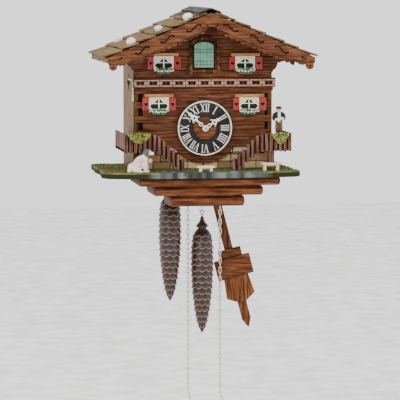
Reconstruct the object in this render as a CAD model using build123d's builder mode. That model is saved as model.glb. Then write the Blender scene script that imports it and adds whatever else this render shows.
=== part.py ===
from build123d import *
from math import atan2, cos, degrees, pi, radians, sin, sqrt
import os

os.makedirs("parts", exist_ok=True)

# Frame: X to the viewer's right, front towards -Y, Z up, millimetres.
# The origin is the hanging hole in the back of the case, on the wall plane.

# ---- driving dimensions -----------------------------------------------------------
BASE_TOP = -128.0            # top of the base board, measured from the hanging hole
BASE_THICK = 6.0
FACADE_Y = -82.5             # front face of the facade board
FACADE_THICK = 7.0
LOG_HALF = 69.5              # half width of the long facade logs
WALL_X = 71.0                # outer face of the side walls
WALL_THICK = 5.0
BACK_THICK = 5.0
ROOF_FRONT_Y = -132.0        # front face of the bargeboards
ROOF_SLOPE = 0.4255          # fall of the roof per millimetre outwards
ROOF_APEX = 158.0            # top of the roof boards at the ridge, above the base
ROOF_HALF = 104.0
ROOF_THICK = 4.9             # roof board, measured vertically
BOARD_THICK = 4.0            # bargeboard, front to back
DIAL_Z = 41.5                # height of the dial centre above the base
DIAL_R = 27.7
BOSS_R = 36.0                # round end of the facade under the dial
STONE_PROUD = 4.5            # stone wall in front of the facade board's back
DOOR_HALF = 10.1
DOOR_LOW = 102.0
DOOR_SPRING = 123.5          # where the door's arch starts
DOOR_RISE = 4.5
RAIL_FRONT_Y = -110.0
BALCONY_X = 84.5             # outer face of the balconies' side boards
BALCONY_FLOOR = 19.5
RAIL_TOP = 37.0
CHAIN_Y = -42.0
CHAIN_R = 1.7                # half the width of a chain link
SPROCKET_R = 9.4             # pitch radius of the chain wheels
SPROCKET_Z = 24.0
TIME_SPROCKET_X = 14.2
CALL_SPROCKET_X = -19.3
PIVOT_Z = 52.0               # pendulum pivot above the base
PENDULUM_Y = -20.0
PENDULUM_SWING = 14.47       # degrees from the plumb line at rest
RUNNING = 0.06               # radial clearance of an arbor in its hole


def h(height):
    """Z of a height above the base board's top."""
    return BASE_TOP + height


def front_plane(y):
    """Upright sketch plane at depth y: local x is X, local y is Z, normal to the front."""
    return Plane.XZ.offset(-y)


def roof_top(x):
    return h(ROOF_APEX) - ROOF_SLOPE * abs(x)


def roof_under(x):
    return roof_top(x) - ROOF_THICK


def save(part, label):
    part.label = label
    export_step(part, f"parts/{label}.step")


# ---- case -------------------------------------------------------------------------
def make_facade():
    """Log front with alternating long and short log ends and a round end under the dial."""
    log_tops = [76.0, 68.5, 61.5, 54.0, 47.0, 39.6, 32.0, 22.6]
    short_half = 62.5
    neck_half = 68.3
    right = [(LOG_HALF, h(92)), (LOG_HALF, h(log_tops[0]))]
    for index in range(len(log_tops) - 1):
        half = short_half if index % 2 == 0 else LOG_HALF
        right += [(half, h(log_tops[index])), (half, h(log_tops[index + 1]))]
    eave = [(84.1, roof_under(84.1)), (84.1, h(108.8)), (75.9, h(106.4)), (73.6, h(101.0)),
            (neck_half, h(95.0)), (neck_half, h(92))]
    half_outline = [(0, roof_under(0))] + eave + right + [(0, h(log_tops[-1]))]
    outline = half_outline + [(-x, z) for x, z in reversed(half_outline[1:-1])]
    with BuildPart() as facade:
        with BuildSketch(front_plane(FACADE_Y + FACADE_THICK)):
            with BuildLine():
                Polyline(*outline, close=True)
            make_face()
            with Locations((0, h(DIAL_Z))):
                Circle(BOSS_R)
        extrude(amount=FACADE_THICK)
        with BuildSketch(front_plane(FACADE_Y)):
            with Locations((0, h(DIAL_Z))):
                Circle(3.2)
        extrude(amount=-FACADE_THICK, mode=Mode.SUBTRACT)
        with BuildSketch(front_plane(FACADE_Y)):
            door_profile(0.7)
        extrude(amount=-FACADE_THICK, mode=Mode.SUBTRACT)
        groove_heights = log_tops[:-1] + [83.0, 99.5, 107.0, 114.5, 122.0, 129.5, 137.0]
        with BuildSketch(front_plane(FACADE_Y)):
            for groove in groove_heights:
                with Locations((0, h(groove))):
                    Rectangle(2 * WALL_X + 30, 0.7)
        extrude(amount=-0.6, mode=Mode.SUBTRACT)
    save(facade.part, "facade")


def door_profile(grow):
    """Arched outline of the cuckoo door, grown all round by grow."""
    half = DOOR_HALF + grow
    rise = DOOR_RISE + grow
    steps = 12
    points = [(-half, h(DOOR_LOW) - grow), (half, h(DOOR_LOW) - grow)]
    for index in range(steps + 1):
        turn = pi * index / steps
        points.append((half * cos(turn), h(DOOR_SPRING) + rise * sin(turn)))
    Polygon(*points, align=None)


def make_side_wall(side, label):
    """Side board with a four-pointed sound hole."""
    depth = -(FACADE_Y + FACADE_THICK)
    with BuildPart() as side_wall:
        with BuildSketch(Plane.XZ):
            with BuildLine():
                Polyline((side * WALL_X, h(0)), (side * WALL_X, roof_under(WALL_X)),
                         (side * (WALL_X - WALL_THICK), roof_under(WALL_X - WALL_THICK)),
                         (side * (WALL_X - WALL_THICK), h(0)), close=True)
            make_face()
        extrude(amount=depth)
        with BuildSketch(Plane.YZ.offset(side * WALL_X)):
            with Locations((-40, h(86.3))):
                Ellipse(3.4, 9.2)
                Ellipse(9.2, 3.4)
        extrude(amount=-side * WALL_THICK, mode=Mode.SUBTRACT)
    save(side_wall.part, label)


def make_back_panel():
    """Back board with the pocket of the hanger plate."""
    half = WALL_X - WALL_THICK
    with BuildPart() as back_panel:
        with BuildSketch(Plane.XZ):
            with BuildLine():
                Polyline((-half, h(0)), (half, h(0)), (half, roof_under(half)),
                         (0, roof_under(0)), (-half, roof_under(half)), close=True)
            make_face()
        extrude(amount=BACK_THICK)
        with BuildSketch(Plane.XZ):
            RectangleRounded(HANGER_W, HANGER_H, 4)
        extrude(amount=HANGER_THICK, mode=Mode.SUBTRACT)
        with BuildSketch(Plane.XZ.offset(HANGER_THICK)):
            Circle(7)
        extrude(amount=BACK_THICK, mode=Mode.SUBTRACT)
    save(back_panel.part, "back_panel")


HANGER_W = 34.0
HANGER_H = 18.0
HANGER_THICK = 1.5
HANG_HOLE_R = 3.5


def make_hanger_plate():
    with BuildPart() as hanger_plate:
        with BuildSketch(Plane.XZ):
            RectangleRounded(HANGER_W, HANGER_H, 4)
            Circle(HANG_HOLE_R, mode=Mode.SUBTRACT)
            with Locations((-12, 0), (12, 0)):
                Circle(1.6, mode=Mode.SUBTRACT)
        extrude(amount=HANGER_THICK)
    save(hanger_plate.part, "hanger_plate")


def make_fixings():
    """Screws of the hanger plate and the stud that the pendulum hangs on."""
    with BuildPart() as fixings:
        with BuildSketch(Plane.XZ):
            with Locations((-12, 0), (12, 0)):
                Circle(1.6)
        extrude(amount=HANGER_THICK)
        with BuildSketch(front_plane(-BACK_THICK)):
            with Locations((0, h(PIVOT_Z))):
                Circle(1.2)
        extrude(amount=-PENDULUM_Y - BACK_THICK + 2.5)
        with BuildSketch(front_plane(PENDULUM_Y - 2.5)):
            with Locations((0, h(PIVOT_Z))):
                Circle(2.0)
        extrude(amount=0.8)
    save(fixings.part, "brass_fixings")


def make_base_board():
    """Garden board with an uneven edge, chain holes and the pendulum slot."""
    outline = [(-105, 0), (-105.5, -22), (-107, -46), (-105, -70), (-106.5, -92), (-108, -108),
               (-104, -119), (-94, -123), (-80, -126.5), (-62, -125.5), (-44, -128.5), (-26, -127),
               (-8, -129), (10, -127.5), (28, -129), (46, -127), (62, -128), (76, -125),
               (86, -124), (92, -117), (92.5, -108), (89.5, -92), (91, -70), (88.5, -46),
               (90, -22), (88.5, 0)]
    chain_holes = []
    for centre in (TIME_SPROCKET_X, CALL_SPROCKET_X):
        chain_holes += [(centre - SPROCKET_R, CHAIN_Y), (centre + SPROCKET_R, CHAIN_Y)]
    with BuildPart() as base_board:
        with BuildSketch(Plane.XY.offset(h(-BASE_THICK))):
            with BuildLine():
                Polyline(*outline, close=True)
            make_face()
            with Locations(*chain_holes):
                Circle(4.0, mode=Mode.SUBTRACT)
            with Locations((0, PENDULUM_Y)):
                SlotOverall(48, 9, mode=Mode.SUBTRACT)
        extrude(amount=BASE_THICK)
    save(base_board.part, "base_board")


def make_foot_logs():
    """Three stacked boards with rounded ends under the base."""
    # half width, front y, back y, top and bottom heights
    logs = [(71.6, -120.5, -50.0, -6.0, -14.6), (55.7, -112.0, -60.0, -14.6, -25.2),
            (38.3, -103.0, -60.0, -25.2, -36.2)]
    with BuildPart() as foot_logs:
        for half, front, back, top, bottom in logs:
            with BuildSketch(front_plane(back)):
                with Locations((0, h((top + bottom) / 2))):
                    RectangleRounded(2 * half, top - bottom, 3.4)
            extrude(amount=back - front)
    save(foot_logs.part, "foot_logs")


def make_stone_wall():
    """Ground floor wall between the side walls, with mortar joints."""
    wall_half = WALL_X - WALL_THICK
    wall_top = 24.0
    joint_heights = [7.4, 16.2]
    joints = [(-52, 4), (-16.4, 4), (14, 4), (40, 4), (-36, 12), (0, 12), (28.2, 12), (54, 12),
              (-48, 20), (-22, 20), (22, 20), (46, 20)]
    facade_back = FACADE_Y + FACADE_THICK
    with BuildPart() as stone_wall:
        with BuildSketch(front_plane(facade_back + 4.5)):
            with Locations((0, h(wall_top / 2))):
                Rectangle(2 * wall_half, wall_top)
        extrude(amount=4.5)
        with BuildSketch(front_plane(facade_back)):
            with Locations((0, h(wall_top / 2 - 1.0))):
                Rectangle(2 * wall_half, wall_top - 2.0)
            with Locations((0, h(DIAL_Z))):
                Circle(BOSS_R, mode=Mode.SUBTRACT)
        extrude(amount=STONE_PROUD)
        with BuildSketch(front_plane(facade_back - STONE_PROUD)):
            for height in joint_heights:
                with Locations((0, h(height))):
                    Rectangle(2 * wall_half, 0.7)
            for x, height in joints:
                with Locations((x, h(height))):
                    Rectangle(0.7, 8)
        extrude(amount=-0.8, mode=Mode.SUBTRACT)
    save(stone_wall.part, "stone_wall")


# ---- roof -------------------------------------------------------------------------
def make_roof_boards():
    """Two sloping boards that meet at the ridge."""
    with BuildPart() as roof_boards:
        for side in (-1, 1):
            with BuildSketch(Plane.XZ):
                with BuildLine():
                    Polyline((0, roof_top(0)), (side * ROOF_HALF, roof_top(ROOF_HALF)),
                             (side * ROOF_HALF, roof_under(ROOF_HALF)), (0, roof_under(0)),
                             close=True)
                make_face()
            extrude(amount=-ROOF_FRONT_Y - BOARD_THICK)
    save(roof_boards.part, "roof_boards")


def make_bargeboards():
    """Front gable trim with a round lobe at each eave."""
    drop = 13.5
    lobe_x = 98.6
    with BuildPart() as bargeboards:
        with BuildSketch(front_plane(ROOF_FRONT_Y + BOARD_THICK)):
            for side in (-1, 1):
                with BuildLine():
                    Polyline((0, roof_top(0)), (side * ROOF_HALF, roof_top(ROOF_HALF)),
                             (side * ROOF_HALF, roof_top(ROOF_HALF) - 5),
                             (side * 93, roof_top(93) - drop + 4), (side * 88, roof_top(88) - drop),
                             (side * 8, roof_top(8) - drop), (0, roof_top(0) - drop), close=True)
                make_face()
                with Locations((side * lobe_x, h(105.6))):
                    Circle(3.9)
        extrude(amount=BOARD_THICK)
    save(bargeboards.part, "bargeboards")


def make_scalloped_trim():
    """Thin second board behind the bargeboards, with a row of round scallops."""
    first_x = 12.0
    last_x = 80.0
    count = 13
    drop = 15.5
    thick = 2.0
    with BuildPart() as scalloped_trim:
        with BuildSketch(front_plane(ROOF_FRONT_Y + BOARD_THICK + thick)):
            for side in (-1, 1):
                with BuildLine():
                    Polyline((0, roof_under(0)), (side * 84, roof_under(84)),
                             (side * 84, roof_top(84) - drop), (0, roof_top(0) - drop), close=True)
                make_face()
                for index in range(count):
                    x = side * (first_x + (last_x - first_x) * index / (count - 1))
                    with Locations((x, roof_top(x) - drop)):
                        Circle(2.3)
        extrude(amount=thick)
    save(scalloped_trim.part, "scalloped_trim")


SHINGLE_EDGES = [4.0, 22.5, 39.0, 55.5, 72.0, 88.5, 108.0]
SHINGLE_BUTT = 3.4           # thickness at a shingle's lower edge
SHINGLE_HEAD = 0.9           # thickness where the next course covers it


def make_shingles(side, label):
    """Six courses of thick shingles, each with its lower edge raised."""
    with BuildPart() as shingles:
        for inner, outer in zip(SHINGLE_EDGES, SHINGLE_EDGES[1:]):
            with BuildSketch(Plane.XZ):
                with BuildLine():
                    Polyline((side * inner, roof_top(inner)), (side * outer, roof_top(outer)),
                             (side * outer, roof_top(outer) + SHINGLE_BUTT),
                             (side * inner, roof_top(inner) + SHINGLE_HEAD), close=True)
                make_face()
            extrude(amount=-ROOF_FRONT_Y - BOARD_THICK - 0.5)
    save(shingles.part, label)


def make_ridge_boards():
    with BuildPart() as ridge_boards:
        with BuildSketch(Plane.XZ):
            with BuildLine():
                Polyline((0, roof_top(0)), (4, roof_top(4)), (4, roof_top(4) + 0.9),
                         (17, roof_top(17) + 4.4), (17, roof_top(17) + 5.4), (0, roof_top(0) + 5.2),
                         (-17, roof_top(17) + 5.4), (-17, roof_top(17) + 4.4),
                         (-4, roof_top(4) + 0.9), (-4, roof_top(4)), close=True)
            make_face()
        extrude(amount=-ROOF_FRONT_Y - BOARD_THICK - 3)
    save(ridge_boards.part, "ridge_boards")


def shingle_top(x):
    """Height of the shingles' upper side at x."""
    for inner, outer in zip(SHINGLE_EDGES, SHINGLE_EDGES[1:]):
        if inner <= abs(x) <= outer:
            share = (abs(x) - inner) / (outer - inner)
            return roof_top(x) + SHINGLE_HEAD + share * (SHINGLE_BUTT - SHINGLE_HEAD)
    return roof_top(x)


def make_roof_stones():
    """Round pebbles that lie on the shingles."""
    # x, y, radius
    stones = [(-22.5, -119, 4.4), (-49, -100, 4.0), (-79, -118, 4.5), (-80, -30, 4.4),
              (43, -70, 4.2), (80, -66, 4.4), (52, -28, 4.0)]
    with BuildPart() as roof_stones:
        for x, y, radius in stones:
            reach = [shingle_top(abs(x) - step) - ROOF_SLOPE * step for step in (0, 1, 2)]
            with Locations((x, y, max(reach) + radius * 1.09 + 0.1)):
                Sphere(radius)
    save(roof_stones.part, "roof_stones")


# ---- facade trim ------------------------------------------------------------------
def make_decor_band():
    with BuildPart() as decor_band:
        with BuildSketch(front_plane(FACADE_Y)):
            with Locations((0, h(87.0))):
                Rectangle(145, 9.4)
        extrude(amount=4.5)
        with BuildSketch(front_plane(FACADE_Y - 4.5)):
            with Locations((0, h(87.0))):
                Rectangle(141, 6.6)
        extrude(amount=-0.6, mode=Mode.SUBTRACT)
        with BuildSketch(front_plane(FACADE_Y)):
            with Locations((0, h(80.6))):
                Rectangle(141, 3.2)
        extrude(amount=2.2)
    save(decor_band.part, "decor_band")


def make_door_frame():
    """Carved plaque round the cuckoo door, wavy on both sides and pointed at the top."""
    half_outline = [(0, 134.6), (9, 130.6), (15, 127.8), (14.2, 122.5), (16.8, 118.5), (14.6, 114.5),
                    (17, 110.5), (15, 106.5), (18.8, 101), (13.5, 95)]
    outline = half_outline + [(-x, z) for x, z in reversed(half_outline[1:])]
    with BuildPart() as door_frame:
        with BuildSketch(front_plane(FACADE_Y)):
            with BuildLine():
                Polyline(*[(x, h(z)) for x, z in outline], close=True)
            make_face()
        extrude(amount=3.0)
        with BuildSketch(front_plane(FACADE_Y)):
            door_profile(1.3)
        extrude(amount=3.0, mode=Mode.SUBTRACT)
    save(door_frame.part, "door_frame")


WINDOWS = [(-41.2, 107.2), (41.8, 106.7), (-46.2, 66.2), (46.0, 65.5)]   # x, height of the centre
WINDOW_W = 20.4
WINDOW_H = 13.4


def make_windows():
    """Window panels with four lights each, and the board over each window."""
    with BuildPart() as windows:
        for x, height in WINDOWS:
            with BuildSketch(front_plane(FACADE_Y)):
                with Locations((x, h(height))):
                    Rectangle(WINDOW_W, WINDOW_H)
            extrude(amount=1.4)
            with BuildSketch(front_plane(FACADE_Y - 1.4)):
                for side in (-1, 1):
                    with BuildLine():
                        Polyline((x + side * 1.0, h(height + 5)), (x + side * 6.5, h(height + 1)),
                                 (x + side * 1.0, h(height + 1)), close=True)
                    make_face()
                    with BuildLine():
                        Polyline((x + side * 1.0, h(height)), (x + side * 6.5, h(height)),
                                 (x + side * 8.2, h(height - 2.5)), (x + side * 6, h(height - 4.6)),
                                 (x + side * 1.0, h(height - 4.6)), close=True)
                    make_face()
            extrude(amount=-0.8, mode=Mode.SUBTRACT)
            with BuildSketch(front_plane(FACADE_Y)):
                with Locations((x, h(height + WINDOW_H / 2 + 1.75))):
                    Rectangle(29.4, 3.1)
            extrude(amount=4.0)
    save(windows.part, "windows")


def make_shutters():
    """A pair of open shutters beside each window, each with a heart-shaped opening."""
    shutter_w = 7.2
    shutter_h = 12.8
    opening = 24.0
    with BuildPart() as shutters:
        for x, height in WINDOWS:
            for side in (-1, 1):
                hinge = Vector(x + side * (WINDOW_W / 2 + 0.4), FACADE_Y - 1.5, h(height))
                along = Vector(side * cos(radians(opening)), -sin(radians(opening)), 0)
                face = Plane(origin=hinge, x_dir=along,
                             z_dir=Vector(-side * sin(radians(opening)), -cos(radians(opening)), 0))
                with BuildSketch(face):
                    with Locations((shutter_w / 2, 0)):
                        Rectangle(shutter_w, shutter_h)
                    with Locations((shutter_w / 2, -0.2)):
                        Rectangle(1.7, 1.7, rotation=45, mode=Mode.SUBTRACT)
                extrude(amount=1.2)
    save(shutters.part, "shutters")


def make_flower_boxes():
    with BuildPart() as flower_boxes:
        for x, height in WINDOWS:
            with BuildSketch(front_plane(FACADE_Y)):
                with BuildLine():
                    low = h(height - WINDOW_H / 2)
                    Polyline((x - 9.4, low + 0.0), (x - 6.4, low - 4.6), (x + 6.4, low - 4.6),
                             (x + 9.4, low), close=True)
                make_face()
            extrude(amount=4.6)
    save(flower_boxes.part, "flower_boxes")


# ---- balconies and garden ---------------------------------------------------------
def make_balcony(side, label):
    """Balcony floor round the corner, side board, picket rail and stair rail, and its post."""
    stair_end = 23.0
    flat_end = 52.0
    stair_slope = 0.93
    picket_w = 3.2
    pitch = 4.75
    back_y = -36.0
    floor_thick = 2.5
    post_x = 64.5
    outer = BALCONY_X
    with BuildPart() as balcony:
        with BuildSketch(Plane.XY.offset(h(BALCONY_FLOOR))):
            with BuildLine():
                Polyline((side * flat_end, FACADE_Y), (side * flat_end, RAIL_FRONT_Y + 3),
                         (side * outer, RAIL_FRONT_Y + 3), (side * outer, back_y),
                         (side * WALL_X, back_y), (side * WALL_X, FACADE_Y), close=True)
            make_face()
        extrude(amount=floor_thick)
        with BuildSketch(Plane.YZ.offset(side * outer)):
            with BuildLine():
                Polyline((back_y, h(BALCONY_FLOOR)), (RAIL_FRONT_Y, h(BALCONY_FLOOR - 1)),
                         (RAIL_FRONT_Y, h(RAIL_TOP)), (back_y, h(RAIL_TOP)), close=True)
            make_face()
        extrude(amount=-side * 2.0)
        rails = ((RAIL_TOP - 3.0, RAIL_TOP - 5.5, stair_end),
                 (BALCONY_FLOOR + 2.5, BALCONY_FLOOR, stair_end + 10.5))
        for top, low, end in rails:
            fall = (flat_end - end) * stair_slope
            with BuildSketch(front_plane(RAIL_FRONT_Y + 3)):
                with BuildLine():
                    Polyline((side * outer, h(top)), (side * flat_end, h(top)),
                             (side * end, h(top - fall)), (side * end, h(low - fall)),
                             (side * flat_end, h(low)), (side * outer, h(low)), close=True)
                make_face()
            extrude(amount=1.5)
        count = int((outer - stair_end) / pitch)
        for index in range(count + 1):
            x = outer - picket_w / 2 - index * pitch
            sink = max(0.0, (flat_end - x) * stair_slope)
            top = RAIL_TOP - sink
            low = max(0.0, BALCONY_FLOOR - 1 - sink)
            with BuildSketch(front_plane(RAIL_FRONT_Y + 1.5)):
                with Locations((side * x, h((top + low) / 2))):
                    Rectangle(picket_w, top - low)
            extrude(amount=1.5)
        with BuildSketch(Plane.XY.offset(h(0))):
            with Locations((side * post_x, RAIL_FRONT_Y + 5.5)):
                Rectangle(6.4, 5.0)
        extrude(amount=BALCONY_FLOOR)
    save(balcony.part, label)


def make_moss():
    """Moss clumps laid over the rails of both balconies."""
    with BuildPart() as moss:
        for side in (-1, 1):
            with BuildSketch(front_plane(RAIL_FRONT_Y)):
                with Locations((side * 71, h(33.2))):
                    Ellipse(9.5, 4.6)
            extrude(amount=3.5)
            with BuildSketch(front_plane(RAIL_FRONT_Y)):
                with Locations((side * 71, h(39.0))):
                    Ellipse(8.6, 1.9)
            extrude(amount=-5.0)
    save(moss.part, "moss")


def make_benches():
    """Garden bench on the right and low bench in the middle."""
    # x, y, top height, half length, half depth
    benches_at = [(61.7, -118.5, 8.2, 9.9, 3.6), (-4.8, -121.0, 6.2, 8.8, 2.8)]
    seat = 1.8
    with BuildPart() as benches:
        for x, y, top, half, half_depth in benches_at:
            with BuildSketch(Plane.XY.offset(h(top - seat))):
                with Locations((x, y)):
                    Rectangle(2 * half, 2 * half_depth)
            extrude(amount=seat)
            with BuildSketch(Plane.XY.offset(h(0))):
                with Locations((x - half + 3.4, y), (x + half - 3.4, y)):
                    Rectangle(2.6, 2 * half_depth - 1)
            extrude(amount=top - seat)
    save(benches.part, "benches")


def make_dog_figure():
    """Sitting dog: haunches, chest, head and forelegs."""
    x0 = -68.0
    y0 = -117.0
    with BuildPart() as dog_figure:
        with BuildSketch(Plane.XY.offset(h(0))):
            with Locations((x0 - 1, y0)):
                Ellipse(13.5, 5.6)
        extrude(amount=2.4)
        with BuildSketch(Plane.XY.offset(h(2.4))):
            with Locations((x0 - 1, y0)):
                Ellipse(9.5, 4.8)
        with BuildSketch(Plane.XY.offset(h(17.0))):
            with Locations((x0 + 5.0, y0)):
                Ellipse(3.6, 3.2)
        loft()
        with Locations((x0 + 6.5, y0, h(19.0))):
            Sphere(5.0)
        with Locations((x0 + 11.0, y0, h(17.6))):
            Sphere(3.0)
    save(dog_figure.part, "dog_figure")


def make_man_figure():
    """Standing man with folded arms and a round hat."""
    x0 = 74.0
    y0 = -98.0
    foot = BALCONY_FLOOR + 2.5
    with BuildPart() as man_figure:
        with BuildSketch(Plane.XY.offset(h(foot))):
            with Locations((x0, y0)):
                Ellipse(4.4, 3.2)
        extrude(amount=22.5)
        with BuildSketch(Plane.XY.offset(h(foot + 22.5))):
            with Locations((x0, y0)):
                Ellipse(6.6, 3.8)
        with BuildSketch(Plane.XY.offset(h(foot + 33.0))):
            with Locations((x0, y0)):
                Ellipse(3.8, 2.8)
        loft()
        with Locations((x0, y0, h(foot + 36.6))):
            Sphere(3.9)
        with Locations((x0, y0, h(foot + 38.2))):
            Cylinder(4.6, 1.0)
    save(man_figure.part, "man_figure")


# ---- dial and hands ---------------------------------------------------------------
DIAL_FRONT = FACADE_Y - 5.0
ARBOR_R = 1.5
PIPE_IN = ARBOR_R + RUNNING
PIPE_OUT = 2.5


def make_dial():
    """Turned disc with a raised rim and a raised centre."""
    with BuildPart() as dial:
        with BuildSketch(front_plane(FACADE_Y)):
            with Locations((0, h(DIAL_Z))):
                Circle(DIAL_R)
                Circle(PIPE_OUT + 0.5, mode=Mode.SUBTRACT)
        extrude(amount=FACADE_Y - DIAL_FRONT)
        with BuildSketch(front_plane(DIAL_FRONT)):
            with Locations((0, h(DIAL_Z))):
                Circle(DIAL_R)
                Circle(DIAL_R - 1.9, mode=Mode.SUBTRACT)
        extrude(amount=1.2)
        with BuildSketch(front_plane(DIAL_FRONT)):
            with Locations((0, h(DIAL_Z))):
                Circle(11.5)
                Circle(PIPE_OUT + 0.5, mode=Mode.SUBTRACT)
        extrude(amount=1.0)
    save(dial.part, "dial")


def hand_profile(angle, length, eye_r, bore_r):
    """Outline of a pierced hand that points to angle, in degrees clockwise from twelve."""
    turn = radians(angle)

    def at(r):
        return (r * sin(turn), h(DIAL_Z) + r * cos(turn))

    with Locations((0, h(DIAL_Z))):
        Circle(eye_r)
    with Locations(at(length * 0.25)):
        Circle(1.9)
    with Locations(at(length * 0.60)):
        Circle(2.6)
    with Locations(at(length / 2)):
        Rectangle(1.5, length, rotation=-angle)
    with Locations((0, h(DIAL_Z))):
        Circle(bore_r, mode=Mode.SUBTRACT)
    with Locations(at(length * 0.25)):
        Circle(0.9, mode=Mode.SUBTRACT)
    with Locations(at(length * 0.60)):
        Circle(1.2, mode=Mode.SUBTRACT)


MINUTE_ANGLE = 312.0
HOUR_ANGLE = 56.0
HOUR_Y = FACADE_Y - 8.6
MINUTE_Y = FACADE_Y - 10.6
HAND_THICK = 0.8


def make_hour_hand():
    """Hour hand on its pipe."""
    with BuildPart() as hour_hand:
        with BuildSketch(front_plane(HOUR_Y + HAND_THICK)):
            hand_profile(HOUR_ANGLE, 19.2, 3.3, PIPE_IN)
        extrude(amount=HAND_THICK)
        with BuildSketch(front_plane(HOUR_Y + HAND_THICK)):
            with Locations((0, h(DIAL_Z))):
                Circle(PIPE_OUT)
                Circle(PIPE_IN, mode=Mode.SUBTRACT)
        extrude(amount=-(FACADE_Y + FACADE_THICK + 2.0 - HOUR_Y - HAND_THICK))
    save(hour_hand.part, "hour_hand")


def make_minute_hand():
    """Minute hand with its nut."""
    with BuildPart() as minute_hand:
        with BuildSketch(front_plane(MINUTE_Y + HAND_THICK)):
            hand_profile(MINUTE_ANGLE, 26.8, 3.0, ARBOR_R)
        extrude(amount=HAND_THICK)
        with BuildSketch(front_plane(MINUTE_Y)):
            with Locations((0, h(DIAL_Z))):
                Circle(2.4)
                Circle(ARBOR_R, mode=Mode.SUBTRACT)
        extrude(amount=1.4)
    save(minute_hand.part, "minute_hand")


# ---- movement ---------------------------------------------------------------------
FRONT_PLATE_Y = -66.0
BACK_PLATE_Y = -34.0
PLATE_THICK = 1.5
THIRD_AT = (12.97, 56.86)
ESCAPE_AT = (0.0, 68.0)
PIVOT_R = 1.0
GREAT_Y = -48.5              # great wheel and the drive gear on the centre arbor
GEAR_THICK = 1.5
GREAT_TEETH = 60
DRIVE_TEETH = 45
CENTER_TEETH = 80            # drives an 8-leaf pinion
THIRD_TEETH = 76             # drives a 6-leaf pinion
ESCAPE_TEETH = 30


def gear_face(x, height, radius, teeth, depth):
    """Toothed outline about (x, height), radius measured over the tips."""
    points = []
    for index in range(teeth):
        for step, r in ((0.0, radius - depth), (0.25, radius), (0.5, radius), (0.75, radius - depth)):
            turn = 2 * pi * (index + step) / teeth
            points.append((x + r * sin(turn), h(height) + r * cos(turn)))
    Polygon(*points, align=None)


def disc(x, height, radius, y, length):
    """Cylinder from depth y forward by length, about (x, height)."""
    with Locations(Location((x, y - length / 2, h(height)), (90, 0, 0))):
        Cylinder(radius, length)


def make_movement_plates():
    holes = [(TIME_SPROCKET_X, SPROCKET_Z), (CALL_SPROCKET_X, SPROCKET_Z), THIRD_AT, ESCAPE_AT]
    pillars = [(-34, 10), (34, 10), (-34, 94), (34, 94)]
    with BuildPart() as movement_plates:
        for y in (FRONT_PLATE_Y + PLATE_THICK, BACK_PLATE_Y + PLATE_THICK):
            with BuildSketch(front_plane(y)):
                with Locations((0, h(52))):
                    RectangleRounded(76, 92, 3)
                for x, height in holes:
                    with Locations((x, h(height))):
                        Circle(PIVOT_R + RUNNING, mode=Mode.SUBTRACT)
                with Locations((0, h(DIAL_Z))):
                    Circle(ARBOR_R + RUNNING, mode=Mode.SUBTRACT)
                with Locations((0, h(PIVOT_Z))):
                    Circle(PIVOT_R + RUNNING, mode=Mode.SUBTRACT)
                with Locations((20, h(84))):
                    Circle(PIVOT_R + RUNNING, mode=Mode.SUBTRACT)
                for x, height in pillars:
                    with Locations((x, h(height))):
                        Circle(2.0, mode=Mode.SUBTRACT)
            extrude(amount=PLATE_THICK)
    save(movement_plates.part, "movement_plates")
    with BuildPart() as movement_pillars:
        for x, height in pillars:
            front_end = FACADE_Y + FACADE_THICK + (4.5 if height < 24 else 0)
            disc(x, height, 2.0, BACK_PLATE_Y + PLATE_THICK, BACK_PLATE_Y + PLATE_THICK - front_end)
    save(movement_pillars.part, "movement_pillars")


def make_wheels():
    """Going train: great wheel, centre wheel, third wheel and escape wheel."""
    plate_gap = BACK_PLATE_Y - FRONT_PLATE_Y + PLATE_THICK
    with BuildPart() as center_wheel:
        disc(0, DIAL_Z, ARBOR_R, BACK_PLATE_Y + PLATE_THICK, BACK_PLATE_Y + PLATE_THICK - MINUTE_Y + 1.4)
        with BuildSketch(front_plane(-56.5)):
            gear_face(0, DIAL_Z, 18.0, CENTER_TEETH, 0.9)
        extrude(amount=GEAR_THICK)
        with BuildSketch(front_plane(GREAT_Y)):
            gear_face(0, DIAL_Z, 9.3, DRIVE_TEETH, 0.8)
        extrude(amount=GEAR_THICK)
    save(center_wheel.part, "center_wheel")
    with BuildPart() as third_wheel:
        disc(*THIRD_AT, PIVOT_R, BACK_PLATE_Y + PLATE_THICK, plate_gap)
        with BuildSketch(front_plane(-60.5)):
            gear_face(*THIRD_AT, 15.6, THIRD_TEETH, 0.8)
        extrude(amount=GEAR_THICK)
        disc(*THIRD_AT, 1.9, -55.5, 3.5)
    save(third_wheel.part, "third_wheel")
    with BuildPart() as escape_wheel:
        disc(*ESCAPE_AT, PIVOT_R, BACK_PLATE_Y + PLATE_THICK, plate_gap)
        with BuildSketch(front_plane(-45.0)):
            gear_face(*ESCAPE_AT, 6.5, ESCAPE_TEETH, 0.8)
        extrude(amount=1.0)
        disc(*ESCAPE_AT, 1.3, -59.5, 3.5)
    save(escape_wheel.part, "escape_wheel")
    with BuildPart() as time_great_wheel:
        with BuildSketch(front_plane(GREAT_Y)):
            gear_face(TIME_SPROCKET_X, SPROCKET_Z, 12.7, GREAT_TEETH, 0.8)
            with Locations((TIME_SPROCKET_X, h(SPROCKET_Z))):
                Circle(PIVOT_R + RUNNING, mode=Mode.SUBTRACT)
        extrude(amount=GEAR_THICK)
    save(time_great_wheel.part, "time_great_wheel")


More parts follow.
